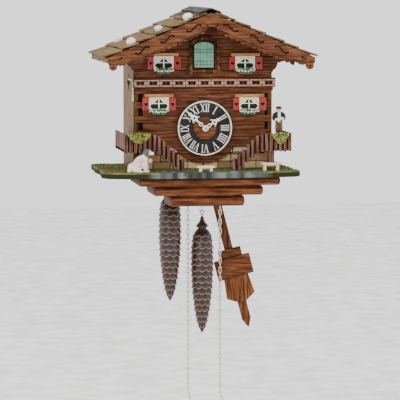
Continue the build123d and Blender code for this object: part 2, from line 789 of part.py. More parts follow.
def make_chain_wheel(x, label, great_y=None):
    """Chain wheel on its arbor, between two flanges; the call wheel carries its own gear."""
    plate_gap = BACK_PLATE_Y - FRONT_PLATE_Y + PLATE_THICK
    with BuildPart() as chain_wheel:
        disc(x, SPROCKET_Z, PIVOT_R, BACK_PLATE_Y + PLATE_THICK, plate_gap)
        disc(x, SPROCKET_Z, 7.3, CHAIN_Y + 1.6, 3.2)
        disc(x, SPROCKET_Z, 3.0, CHAIN_Y + 3.4, 6.4)
        if great_y is not None:
            with BuildSketch(front_plane(great_y)):
                gear_face(x, SPROCKET_Z, 18.2, 72, 0.9)
            extrude(amount=1.5)
    save(chain_wheel.part, label)


def make_anchor():
    """Anchor over the escape wheel, its arbor and the crutch that guides the pendulum."""
    tilt = -PENDULUM_SWING
    pivot = Plane(origin=(0, 0, h(PIVOT_Z)), x_dir=(1, 0, 0), z_dir=(0, -1, 0))
    pallet_y = -45.0
    crutch_y = -26.0
    with BuildPart() as anchor:
        disc(0, PIVOT_Z, PIVOT_R, crutch_y - 0.6, 20.9)
        with BuildSketch(pivot.offset(-pallet_y)):
            Circle(2.6)
            for side in (-1, 1):
                Polygon((-side * 0.8, 1.0), (side * 9.6, 7.8), (side * 10.4, 10.2),
                        (side * 9.2, 10.6), (side * 8.0, 8.8), (-side * 0.8, 4.0), align=None)
        extrude(amount=1.0)
        with BuildSketch(pivot.offset(-crutch_y)):
            Circle(1.9)
            with Locations((0, -10)):
                Rectangle(1.6, 20)
            with Locations((0, -20)):
                Rectangle(13.2, 2.4)
        extrude(amount=1.2)
        with BuildSketch(pivot.offset(-crutch_y)):
            with Locations((-6.0, -20), (6.0, -20)):
                Rectangle(1.2, 2.4)
        extrude(amount=-8.0)
    swung = anchor.part.rotate(Axis((0, 0, h(PIVOT_Z)), (0, 1, 0)), tilt)
    save(swung, "anchor")


# ---- pendulum ---------------------------------------------------------------------
def swing(part):
    """Turn a plumb pendulum piece about the pivot to its resting side."""
    return part.rotate(Axis((0, 0, h(PIVOT_Z)), (0, 1, 0)), -PENDULUM_SWING)


ROD_HALF = 4.65
ROD_THICK = 2.6


def make_pendulum():
    """Flat wooden rod with a wire eye at the stud, and the carved bob that slides on it."""
    eye_r = 1.25
    rod_top = 10.0
    rod_end = 231.0
    with BuildPart() as pendulum_rod:
        with BuildSketch(front_plane(PENDULUM_Y + ROD_THICK / 2)):
            with BuildLine():
                Polyline((-ROD_HALF + 0.3, h(PIVOT_Z - rod_top)), (ROD_HALF - 0.3, h(PIVOT_Z - rod_top)),
                         (ROD_HALF, h(PIVOT_Z - rod_end + 9)), (0, h(PIVOT_Z - rod_end)),
                         (-ROD_HALF, h(PIVOT_Z - rod_end + 9)), close=True)
            make_face()
        extrude(amount=ROD_THICK)
        with BuildSketch(front_plane(PENDULUM_Y + 0.6)):
            with Locations((0, h(PIVOT_Z - rod_top / 2 - 0.2))):
                Rectangle(1.6, rod_top)
            with Locations((0, h(PIVOT_Z))):
                Circle(2.6)
                Circle(eye_r, mode=Mode.SUBTRACT)
        extrude(amount=1.2)
    save(swing(pendulum_rod.part), "pendulum_rod")
    # heights below the pivot, then half width and thickness of each block
    with BuildPart() as pendulum_bob:
        for top, low, half, thick in ((145.5, 154.7, 12.1, 2.6), (154.7, 175.8, 19.1, 5.0)):
            with BuildSketch(front_plane(PENDULUM_Y - ROD_THICK / 2 - 0.3)):
                with Locations((0, h(PIVOT_Z - (top + low) / 2))):
                    Rectangle(2 * half, low - top)
            extrude(amount=thick)
        with BuildSketch(front_plane(PENDULUM_Y - ROD_THICK / 2 - 0.3)):
            with BuildLine():
                Polyline((-13.0, h(PIVOT_Z - 175.8)), (13.0, h(PIVOT_Z - 175.8)),
                         (15.2, h(PIVOT_Z - 196.3)), (4.4, h(PIVOT_Z - 202.8)),
                         (-4.4, h(PIVOT_Z - 202.8)), (-15.2, h(PIVOT_Z - 196.3)), close=True)
            make_face()
        extrude(amount=3.4)
        with BuildSketch(front_plane(PENDULUM_Y + ROD_THICK / 2 + 1.1)):
            with Locations((0, h(PIVOT_Z - 165))):
                Rectangle(16, 12)
        extrude(amount=0.8)
        for side in (-1, 1):
            with BuildSketch(front_plane(PENDULUM_Y + ROD_THICK / 2 + 1.1)):
                with Locations((side * 6.4, h(PIVOT_Z - 165))):
                    Rectangle(3.2, 12)
            extrude(amount=ROD_THICK + 1.4)
    save(swing(pendulum_bob.part), "pendulum_bob")


# ---- weights and chains -----------------------------------------------------------
TIME_CAP = -53.0             # top of the cone's cap, above the base
CALL_CAP = -19.0


def make_weight(x, cap, label):
    """Cast cone with a flared cap and a wire eye, turned about its own axis."""
    # distance below the cap's top, radius
    profile = [(0, 1.6), (4, 2.6), (8.5, 6.3), (10.5, 6.0), (12, 4.2), (13.5, 7.6), (20, 10.6),
               (32, 12.2), (52, 12.6), (74, 11.4), (94, 8.8), (110, 5.6), (118, 2.6), (120.3, 0)]
    hook_top = cap + 7.0
    with BuildPart() as weight:
        with BuildSketch(Plane.XZ.offset(-CHAIN_Y)):
            with BuildLine():
                body = Spline(*[(x + r, h(cap - down)) for down, r in profile[5:-1]])
                Polyline(body @ 1, (x, h(cap - profile[-1][0])), (x, h(cap)))
                Polyline((x, h(cap)), *[(x + r, h(cap - down)) for down, r in profile[:6]])
            make_face()
        revolve(axis=Axis((x, CHAIN_Y, 0), (0, 0, 1)))
        with BuildSketch(Plane.XY.offset(h(cap - 1))):
            with Locations((x, CHAIN_Y)):
                Circle(0.7)
        extrude(amount=hook_top - cap - 3.4)
        with Locations(Location((x, CHAIN_Y, h(hook_top - 2.5)), (90, 0, 0))):
            Torus(1.9, 0.6)
    save(weight.part, label)
    return hook_top


def make_weight_chain(x, hook_top, label):
    """Chain strand from the chain wheel down to the weight's eye, as one plain round bar."""
    with BuildPart() as weight_chain:
        with BuildSketch(Plane.XY.offset(h(hook_top + 0.2))):
            with Locations((x - SPROCKET_R, CHAIN_Y)):
                Circle(CHAIN_R)
        extrude(amount=SPROCKET_Z - hook_top - 0.2)
    save(weight_chain.part, label)


HANK_TOP = -252.0
HANK_LOW = -316.0
HANK_W = 19.0
HANK_D = 34.0
HANK_WALL = 3.6              # one chain thick, round the open core of its loops
RING_R = 4.2
RING_DROP = 13.0             # centre of the pull ring below the hank


def make_free_chain(x, label):
    """Strand over the chain wheel and straight down to the tied hank."""
    with BuildPart() as free_chain:
        with BuildLine():
            down = Line((x + SPROCKET_R, CHAIN_Y, h(HANK_TOP)), (x + SPROCKET_R, CHAIN_Y, h(SPROCKET_Z)))
            ThreePointArc(down @ 1, (x, CHAIN_Y, h(SPROCKET_Z + SPROCKET_R)),
                          (x - SPROCKET_R, CHAIN_Y, h(SPROCKET_Z)))
        with BuildSketch(Plane.XY.offset(h(HANK_TOP))):
            with Locations((x + SPROCKET_R, CHAIN_Y)):
                Circle(CHAIN_R)
        sweep()
    save(free_chain.part, label)


def make_hank(x, label):
    """Upright loops of tied-up chain side by side, as one ring with an open core."""
    tall = HANK_TOP - HANK_LOW
    with BuildPart() as hank:
        with BuildSketch(front_plane(CHAIN_Y - HANK_D / 2)):
            with Locations((x + SPROCKET_R, h((HANK_TOP + HANK_LOW) / 2))):
                RectangleRounded(HANK_W, tall, HANK_W / 2 - 0.5)
                RectangleRounded(HANK_W - 2 * HANK_WALL, tall - 2 * HANK_WALL,
                                 HANK_W / 2 - HANK_WALL - 0.4, mode=Mode.SUBTRACT)
        extrude(amount=-HANK_D)
    save(hank.part, label)


def make_ring(x, label):
    """Brass pull ring at the free end of the chain."""
    with BuildPart() as ring:
        with Locations(Location((x + SPROCKET_R, CHAIN_Y, h(HANK_LOW) - RING_DROP), (90, 0, 0))):
            Torus(RING_R, 0.7)
    save(ring.part, label)


# ---- cuckoo, bellows, gong --------------------------------------------------------
DOOR_FRONT_Y = FACADE_Y + 0.2
DOOR_THICK = 1.8
BIRD_NOSE_Y = -70.0


def make_cuckoo_door():
    with BuildPart() as cuckoo_door:
        with BuildSketch(front_plane(DOOR_FRONT_Y + DOOR_THICK)):
            door_profile(0)
        extrude(amount=DOOR_THICK)
        with BuildSketch(front_plane(DOOR_FRONT_Y)):
            for offset in (-DOOR_HALF / 3, DOOR_HALF / 3):
                with Locations((offset, h(113))):
                    Rectangle(0.5, 20)
        extrude(amount=-0.3, mode=Mode.SUBTRACT)
    save(cuckoo_door.part, "cuckoo_door")


def make_cuckoo_bird():
    """Bird with beak, head, body and tail on a sliding bar."""
    z = h(111.0)
    with BuildPart() as cuckoo_bird:
        with Locations(Location((0, BIRD_NOSE_Y + 2.4, z + 2.6), (90, 0, 0))):
            Cone(1.4, 0.4, 4.8)
        with Locations((0, BIRD_NOSE_Y + 7.2, z + 2.6)):
            Sphere(3.7)
        with Locations(Location((0, BIRD_NOSE_Y + 16.0, z - 0.2), (90, 0, 0))):
            Cone(2.6, 4.6, 13.0)
        with Locations(Location((0, BIRD_NOSE_Y + 15.0, z - 5.4), (90, 0, 0))):
            Cylinder(1.2, 26.0)
    save(cuckoo_bird.part, "cuckoo_bird")


BELLOWS_X = 52.0
BELLOWS_HINGE_Y = -32.0
BELLOWS_TOP = 84.0


def make_bellows():
    """Whistle boxes with closed leather folds on top, one each side of the movement."""
    with BuildPart() as bellows:
        for side in (-1, 1):
            with Locations((side * BELLOWS_X, -47, h(BELLOWS_TOP / 2 - 2.0))):
                Box(15, 30, BELLOWS_TOP - 4.0)
            with Locations((side * BELLOWS_X, -47, h(BELLOWS_TOP - 2.0))):
                Box(13, 27, 4.0)
    save(bellows.part, "bellows")
    for side, label in ((-1, "left_bellows_lid"), (1, "right_bellows_lid")):
        with BuildPart() as lid:
            with Locations((side * BELLOWS_X, -47, h(BELLOWS_TOP + 1.0))):
                Box(15, 30, 2.0)
        save(lid.part, label)


def make_gong():
    """Flat coil of round wire on a bar and a post."""
    x0 = 44.0
    z0 = h(62.0)
    y0 = -9.0
    with BuildPart() as gong:
        for ring in range(3):
            with Locations(Location((x0, y0, z0), (90, 0, 0))):
                Torus(8.0 + 4.0 * ring, 1.0)
        with Locations((x0, y0, z0)):
            Box(34, 2.0, 3.0)
        with Locations((x0, (y0 - BACK_THICK) / 2, z0)):
            Box(5, -y0 - BACK_THICK, 3.0)
    save(gong.part, "gong")


HAMMER_X = 20.0
HAMMER_Z = 84.0


def make_hammer():
    with BuildPart() as hammer:
        disc(HAMMER_X, HAMMER_Z, PIVOT_R, -8.5, 57.0)
        with BuildSketch(front_plane(-8.5)):
            with Locations((HAMMER_X, h(HAMMER_Z - 11))):
                Rectangle(1.6, 22)
            with Locations((HAMMER_X, h(HAMMER_Z - 22))):
                Circle(3.0)
        extrude(amount=3.0)
    save(hammer.part, "gong_hammer")


def make_lever():
    """Call shut-off lever outside the left wall: an arm from the sound hole and a flat bar."""
    bar_y = -79.0
    hinge_y = -50.0
    arm_z = 90.0
    bar_long = 21.5
    with BuildPart() as lever:
        with BuildSketch(Plane.YZ.offset(-WALL_X - 0.3)):
            with Locations((bar_y, h(arm_z - bar_long / 2))):
                Rectangle(2.8, bar_long)
            with Locations(((bar_y + hinge_y) / 2, h(arm_z))):
                Rectangle(hinge_y - bar_y, 1.6)
            with Locations((hinge_y, h(arm_z))):
                Circle(1.8)
        extrude(amount=-1.3)
    save(lever.part, "shut_off_lever")


def main():
    make_facade()
    make_side_wall(-1, "side_wall_left")
    make_side_wall(1, "side_wall_right")
    make_back_panel()
    make_hanger_plate()
    make_fixings()
    make_base_board()
    make_foot_logs()
    make_stone_wall()
    make_roof_boards()
    make_bargeboards()
    make_scalloped_trim()
    make_shingles(-1, "shingles_left")
    make_shingles(1, "shingles_right")
    make_ridge_boards()
    make_roof_stones()
    make_decor_band()
    make_door_frame()
    make_windows()
    make_shutters()
    make_flower_boxes()
    make_balcony(-1, "balcony_left")
    make_balcony(1, "balcony_right")
    make_moss()
    make_benches()
    make_dog_figure()
    make_man_figure()
    make_dial()
    make_hour_hand()
    make_minute_hand()
    make_movement_plates()
    make_wheels()
    make_chain_wheel(TIME_SPROCKET_X, "time_chain_wheel")
    make_chain_wheel(CALL_SPROCKET_X, "call_chain_wheel", great_y=-52.5)
    make_anchor()
    make_pendulum()
    for name, x, cap in (("time", TIME_SPROCKET_X, TIME_CAP), ("call", CALL_SPROCKET_X, CALL_CAP)):
        hook_top = make_weight(x - SPROCKET_R, cap, f"{name}_weight")
        make_weight_chain(x, hook_top, f"{name}_weight_chain")
        make_free_chain(x, f"{name}_free_chain")
        make_hank(x, f"{name}_chain_hank")
        make_ring(x, f"{name}_chain_ring")
    make_cuckoo_door()
    make_cuckoo_bird()
    make_bellows()
    make_gong()
    make_hammer()
    make_lever()


main()
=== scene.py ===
import random
from math import atan, cos, degrees, floor, pi, radians, sin, sqrt

import bmesh
import bpy
from mathutils import Matrix, Vector, noise

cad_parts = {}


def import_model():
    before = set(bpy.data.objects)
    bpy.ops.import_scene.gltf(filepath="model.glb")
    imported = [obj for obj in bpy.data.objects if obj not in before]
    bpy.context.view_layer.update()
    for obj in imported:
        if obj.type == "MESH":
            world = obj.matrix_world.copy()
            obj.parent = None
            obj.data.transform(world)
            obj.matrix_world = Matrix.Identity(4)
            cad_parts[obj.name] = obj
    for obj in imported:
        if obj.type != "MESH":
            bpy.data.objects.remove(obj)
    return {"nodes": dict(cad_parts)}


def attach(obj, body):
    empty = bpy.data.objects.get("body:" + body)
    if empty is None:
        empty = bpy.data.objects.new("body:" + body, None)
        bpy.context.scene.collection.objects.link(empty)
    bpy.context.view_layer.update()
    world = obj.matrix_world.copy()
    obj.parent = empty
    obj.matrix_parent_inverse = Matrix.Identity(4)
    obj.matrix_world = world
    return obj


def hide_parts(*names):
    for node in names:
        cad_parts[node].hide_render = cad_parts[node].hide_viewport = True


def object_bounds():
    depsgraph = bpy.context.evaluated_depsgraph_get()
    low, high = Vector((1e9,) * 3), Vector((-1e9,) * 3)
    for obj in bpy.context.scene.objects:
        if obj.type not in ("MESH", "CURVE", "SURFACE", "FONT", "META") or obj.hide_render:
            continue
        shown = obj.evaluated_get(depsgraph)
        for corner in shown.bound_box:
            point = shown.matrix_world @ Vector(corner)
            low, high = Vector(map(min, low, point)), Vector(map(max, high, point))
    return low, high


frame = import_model()
cad_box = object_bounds()

MM = 0.001
BASE_TOP = -128.0            # top of the garden board, millimetres below the hanging hole
ROOF_APEX = 158.0            # heights below are millimetres above the garden board
ROOF_SLOPE = 0.4255
ROOF_THICK = 4.9
FACADE_Y = -82.5
FACADE_BACK = -75.5
DIAL_HEIGHT = 41.5
DIAL_R = 27.7
BOSS_R = 36.0
DOOR_HALF = 10.1
DOOR_LOW = 102.0
DOOR_SPRING = 123.5
DOOR_RISE = 4.5
RAIL_Y = -110.0
CHAIN_Y = -42.0
SPROCKET_R = 9.4
SPROCKET_HEIGHT = 24.0
PIVOT_HEIGHT = 52.0
PENDULUM_Y = -20.0
PENDULUM_TILT = 14.47
LINK_PITCH = 4.997
LINK_WIDTH = 3.5
LINK_WIRE = 0.95
CHAIN_CENTRES = {"time": 14.2, "call": -19.3}      # x of each chain wheel
HOOK_TOPS = {"time": -46.0, "call": -12.0}         # top of each weight's hook
CAP_TOPS = {"time": -53.0, "call": -19.0}          # top of each cone's cap
SLOT_HALF = 19.5                                   # half length of the pendulum's slot
SLOT_R = 4.5
BARGE_FRONT = -132.0
TRIM_FRONT = -128.0
HOUR_ANGLE = 56.0
MINUTE_ANGLE = 312.0
CAMERA_AZIMUTH = -9.51
CAMERA_ELEVATION = 5.5
CAMERA_DISTANCE = 2.472
CAMERA_LENS = 217.8
random.seed(7)


def at(x, y, height):
    """Point in the row frame, in metres, from millimetres and a height above the garden board."""
    return Vector((x * MM, y * MM, (BASE_TOP + height) * MM))


def roof_top(x):
    return ROOF_APEX - ROOF_SLOPE * abs(x)


# ---- camera, light and floor ------------------------------------------------------
def make_camera():
    azimuth = radians(CAMERA_AZIMUTH)
    elevation = radians(CAMERA_ELEVATION)
    target = at(-0.37, -60, -33.83)
    away = Vector((sin(azimuth) * cos(elevation), -cos(azimuth) * cos(elevation), sin(elevation)))
    data = bpy.data.cameras.new("camera")
    data.sensor_width = 36.0
    data.lens = CAMERA_LENS
    data.clip_end = 20.0
    camera = bpy.data.objects.new("camera", data)
    bpy.context.scene.collection.objects.link(camera)
    camera.location = target + away * CAMERA_DISTANCE
    camera.rotation_euler = (-away).to_track_quat("-Z", "Y").to_euler()
    bpy.context.scene.camera = camera


def make_lights():
    aim = at(0, -60, 20)
    # place in metres, size, power, colour
    lamps = [((-0.9, -1.6, 0.9), 0.8, 15.0, (1.0, 0.97, 0.93)),
             ((1.4, -1.3, 0.4), 1.3, 6.0, (0.96, 0.98, 1.0)),
             ((0.1, -0.5, 1.5), 0.9, 9.0, (1.0, 1.0, 1.0)),
             ((-1.6, 0.3, 0.2), 1.2, 4.0, (1.0, 0.98, 0.95))]
    for index, (place, size, power, colour) in enumerate(lamps):
        data = bpy.data.lights.new(f"softbox_{index}", "AREA")
        data.size = size
        data.energy = power
        data.color = colour
        lamp = bpy.data.objects.new(f"softbox_{index}", data)
        bpy.context.scene.collection.objects.link(lamp)
        lamp.location = place
        lamp.rotation_euler = (aim - Vector(place)).to_track_quat("-Z", "Y").to_euler()
    world = bpy.data.worlds.new("studio")
    world.use_nodes = True
    background = world.node_tree.nodes["Background"]
    background.inputs["Color"].default_value = (1.0, 1.0, 1.0, 1.0)
    background.inputs["Strength"].default_value = 1.6
    bpy.context.scene.world = world


# ---- materials --------------------------------------------------------------------
def shader(name, roughness=0.5, metallic=0.0, specular=0.5):
    material = bpy.data.materials.new(name)
    material.use_nodes = True
    tree = material.node_tree
    bsdf = tree.nodes["Principled BSDF"]
    bsdf.inputs["Roughness"].default_value = roughness
    bsdf.inputs["Metallic"].default_value = metallic
    bsdf.inputs["Specular IOR Level"].default_value = specular
    return material, tree, bsdf


def node(tree, kind, **values):
    made = tree.nodes.new(kind)
    for key, value in values.items():
        if key in made.inputs:
            made.inputs[key].default_value = value
        else:
            setattr(made, key, value)
    return made


def ramp(tree, source, stops):
    """Colour ramp of (position, (r, g, b)) stops fed by a socket."""
    made = tree.nodes.new("ShaderNodeValToRGB")
    points = made.color_ramp.elements
    while len(points) < len(stops):
        points.new(0.5)
    for point, (position, colour) in zip(points, stops):
        point.position = position
        point.color = (*colour, 1.0)
    tree.links.new(source, made.inputs["Fac"])
    return made.outputs["Color"]


def grain(tree, stretch, scale=1.0, detail=5.0, rotation=(0, 0, 0)):
    """Noise in object space, drawn out by stretch (cycles per metre on each axis)."""
    place = tree.nodes.new("ShaderNodeTexCoord")
    mapping = tree.nodes.new("ShaderNodeMapping")
    mapping.inputs["Scale"].default_value = stretch
    mapping.inputs["Rotation"].default_value = rotation
    tree.links.new(place.outputs["Object"], mapping.inputs["Vector"])
    made = node(tree, "ShaderNodeTexNoise", Scale=scale, Detail=detail, Roughness=0.62)
    tree.links.new(mapping.outputs["Vector"], made.inputs["Vector"])
    return made.outputs["Fac"]


def mix(tree, share, one, two, blend="MIX"):
    made = tree.nodes.new("ShaderNodeMix")
    made.data_type = "RGBA"
    made.blend_type = blend
    for key, value in (("Factor", share), ("A", one), ("B", two)):
        socket = [s for s in made.inputs if s.name == key and s.enabled][0]
        if isinstance(value, bpy.types.NodeSocket):
            tree.links.new(value, socket)
        elif key == "Factor":
            socket.default_value = value
        else:
            socket.default_value = (*value, 1.0)
    return [s for s in made.outputs if s.enabled][0]


def bump(tree, bsdf, source, strength, distance):
    made = node(tree, "ShaderNodeBump", Strength=strength, Distance=distance)
    tree.links.new(source, made.inputs["Height"])
    tree.links.new(made.outputs["Normal"], bsdf.inputs["Normal"])


def wood(name, dark, middle, light, along="X", roughness=0.58, turn=(0, 0, 0)):
    """Stained wood with long grain streaks, pores and slow changes of tone."""
    material, tree, bsdf = shader(name, roughness, specular=0.14)
    long_way = {"X": (38, 520, 520), "Y": (520, 38, 520), "Z": (520, 520, 38)}[along]
    fine_way = {"X": (160, 2600, 2600), "Y": (2600, 160, 2600), "Z": (2600, 2600, 160)}[along]
    streaks = grain(tree, long_way, rotation=turn)
    pores = grain(tree, fine_way, detail=3.0, rotation=turn)
    patches = grain(tree, (28, 28, 40), detail=2.0)
    colour = ramp(tree, streaks, [(0.36, dark), (0.50, middle), (0.66, light)])
    shade = ramp(tree, pores, [(0.32, (0.45, 0.42, 0.40)), (0.55, (1.0, 1.0, 1.0))])
    colour = mix(tree, 0.75, colour, shade, "MULTIPLY")
    tone = ramp(tree, patches, [(0.30, (0.72, 0.68, 0.66)), (0.70, (1.18, 1.12, 1.05))])
    colour = mix(tree, 0.8, colour, tone, "MULTIPLY")
    worn = grain(tree, (90, 90, 90), detail=6.0)
    rubbed = ramp(tree, worn, [(0.60, (0, 0, 0)), (0.74, (0.5, 0.5, 0.5))])
    colour = mix(tree, rubbed, colour, light)
    tree.links.new(colour, bsdf.inputs["Base Color"])
    gloss = ramp(tree, streaks, [(0.3, (roughness + 0.14,) * 3), (0.7, (roughness - 0.06,) * 3)])
    tree.links.new(gloss, bsdf.inputs["Roughness"])
    bump(tree, bsdf, pores, 0.35, 0.00025)
    return material


def mottled(name, dark, light, size=0.004, roughness=0.7, rough_bump=0.3, distance=0.0003,
            specular=0.4, metallic=0.0):
    """Paint, stone, moss or cast metal: two tones of noise with a fine relief."""
    material, tree, bsdf = shader(name, roughness, metallic, specular)
    broad = grain(tree, (1 / size,) * 3, detail=4.0)
    fine = grain(tree, (6 / size,) * 3, detail=4.0)
    colour = ramp(tree, broad, [(0.33, dark), (0.66, light)])
    shade = ramp(tree, fine, [(0.35, (0.72, 0.72, 0.72)), (0.60, (1.06, 1.06, 1.06))])
    colour = mix(tree, 0.7, colour, shade, "MULTIPLY")
    tree.links.new(colour, bsdf.inputs["Base Color"])
    bump(tree, bsdf, fine, rough_bump, distance)
    return material


def painted_by_attribute(name, roughness=0.5, size=0.003, rough_bump=0.25, specular=0.2):
    """Paint whose colour is held on the mesh's points, broken up by fine noise."""
    material, tree, bsdf = shader(name, roughness, specular=specular)
    held = node(tree, "ShaderNodeVertexColor", layer_name="paint")
    fine = grain(tree, (3 / size,) * 3, detail=4.0)
    shade = ramp(tree, fine, [(0.30, (0.78, 0.78, 0.78)), (0.65, (1.05, 1.05, 1.05))])
    colour = mix(tree, 0.6, held.outputs["Color"], shade, "MULTIPLY")
    tree.links.new(colour, bsdf.inputs["Base Color"])
    bump(tree, bsdf, fine, rough_bump, 0.0002)
    return material


RED_BROWN = ((0.040, 0.0115, 0.0045), (0.118, 0.040, 0.0155), (0.225, 0.088, 0.036))
mat = {}


def make_materials():
    mat["front"] = wood("carved_front", *RED_BROWN)
    mat["front_z"] = wood("carved_upright", *RED_BROWN, along="Z")
    mat["rail"] = wood("rail_wood", (0.045, 0.018, 0.012), (0.130, 0.058, 0.040), (0.27, 0.140, 0.102), "Z")
    mat["foot"] = wood("foot_wood", (0.036, 0.0095, 0.003), (0.125, 0.036, 0.0115), (0.225, 0.078, 0.026))
    # end-grain wood for the log ends, made greyer and lighter as a painted sheen on the chamfers
    mat["log_end"] = wood("log_end_grain_and_painted_sheen", (0.045, 0.022, 0.013), (0.105, 0.058, 0.038), (0.19, 0.115, 0.078),
                          "Z", 0.6)
    mat["side"] = wood("side_board", (0.075, 0.034, 0.008), (0.155, 0.076, 0.019), (0.225, 0.125, 0.038),
                       "Z", 0.5)
    mat["shingle"] = wood("shingle_wood", (0.045, 0.027, 0.009), (0.165, 0.103, 0.040), (0.30, 0.205, 0.092),
                          "X", 0.75)
    mat["ridge"] = wood("ridge_wood", (0.008, 0.007, 0.006), (0.034, 0.028, 0.023), (0.11, 0.092, 0.074),
                        "Y", 0.6)
    mat["roof_board"] = wood("roof_lining", (0.06, 0.030, 0.011), (0.135, 0.072, 0.028), (0.22, 0.125, 0.052),
                             "Y", 0.55)
    # near-black paint for dark joints, bow ties and hearts; also used as painted shade in carved grooves,
    # seams and recesses
    mat["groove"] = mottled("dark_paint_and_groove_shade", (0.006, 0.003, 0.002), (0.018, 0.008, 0.005), 0.003, 0.85,
                            specular=0.05)
    mat["lintel"] = wood("lintel_wood", (0.27, 0.115, 0.038), (0.42, 0.205, 0.075), (0.55, 0.31, 0.135))
    mat["cream"] = mottled("cream_paint", (0.74, 0.68, 0.52), (0.86, 0.82, 0.68), 0.006, 0.5, 0.15)
    mat["pane"] = mottled("dark_pane", (0.004, 0.010, 0.005), (0.012, 0.026, 0.012), 0.004, 0.5, 0.05,
                          specular=0.08)
    mat["curl"] = mottled("olive_curl", (0.22, 0.24, 0.08), (0.38, 0.38, 0.16), 0.002, 0.5, 0.1)
    mat["red"] = mottled("red_paint", (0.22, 0.011, 0.008), (0.38, 0.022, 0.014), 0.005, 0.42, 0.2)
    mat["mint"] = mottled("mint_paint", (0.12, 0.33, 0.21), (0.22, 0.45, 0.31), 0.006, 0.4, 0.15)
    mat["mint_line"] = mottled("green_line", (0.020, 0.085, 0.055), (0.035, 0.13, 0.085), 0.003, 0.5)
    mat["band"] = wood("band_wood", (0.030, 0.009, 0.004), (0.085, 0.027, 0.012), (0.16, 0.060, 0.028))
    mat["inlay"] = mottled("pale_inlay", (0.25, 0.135, 0.090), (0.42, 0.26, 0.185), 0.003, 0.5, 0.2)
    mat["stone"] = painted_by_attribute("cut_stone", 0.75, 0.002, 0.5, 0.1)
    mat["pebble"] = mottled("white_pebble", (0.72, 0.68, 0.64), (0.90, 0.87, 0.84), 0.006, 0.6, 0.3)
    mat["moss"] = painted_by_attribute("moss_fibre", 0.85, 0.002, 0.3, 0.05)
    mat["ground"] = painted_by_attribute("garden_ground", 0.8, 0.0016, 0.6, 0.08)
    mat["figure"] = painted_by_attribute("figure_paint", 0.45, 0.004, 0.15)
    mat["bench"] = wood("pale_bench", (0.50, 0.38, 0.22), (0.70, 0.58, 0.40), (0.82, 0.73, 0.56))
    mat["dial"] = mottled("black_dial", (0.010, 0.008, 0.008), (0.026, 0.021, 0.019), 0.005, 0.6, 0.15,
                          specular=0.15)
    mat["numeral"] = mottled("cream_plastic", (0.76, 0.73, 0.64), (0.86, 0.83, 0.75), 0.006, 0.35, 0.08)
    mat["cone"] = painted_by_attribute("bronzed_cone", 0.34, 0.003, 0.3, 0.4)
    mat["chain"] = mottled("chain_brass", (0.56, 0.50, 0.38), (0.74, 0.69, 0.56), 0.002, 0.26, 0.1,
                           metallic=1.0)
    mat["brass"] = mottled("plate_brass", (0.50, 0.36, 0.14), (0.66, 0.50, 0.22), 0.012, 0.3, 0.1,
                           metallic=1.0)
    mat["steel"] = mottled("grey_steel", (0.28, 0.28, 0.28), (0.46, 0.46, 0.45), 0.006, 0.38, 0.12,
                           metallic=1.0)
    mat["leaf"] = mottled("leaf_green", (0.020, 0.070, 0.022), (0.070, 0.16, 0.055), 0.002, 0.6, 0.3)
    mat["flower"] = mottled("white_flower", (0.72, 0.74, 0.66), (0.88, 0.88, 0.82), 0.002, 0.6, 0.2)
    mat["leather"] = mottled("bellows_leather", (0.30, 0.24, 0.17), (0.42, 0.35, 0.26), 0.003, 0.6, 0.4)
    mat["floor"] = mottled("studio_floor", (0.93, 0.93, 0.92), (0.96, 0.96, 0.95), 0.2, 0.8, 0.02)


# ---- mesh building ----------------------------------------------------------------
def ring_angles(count):
    return [2 * pi * k / count for k in range(count)]


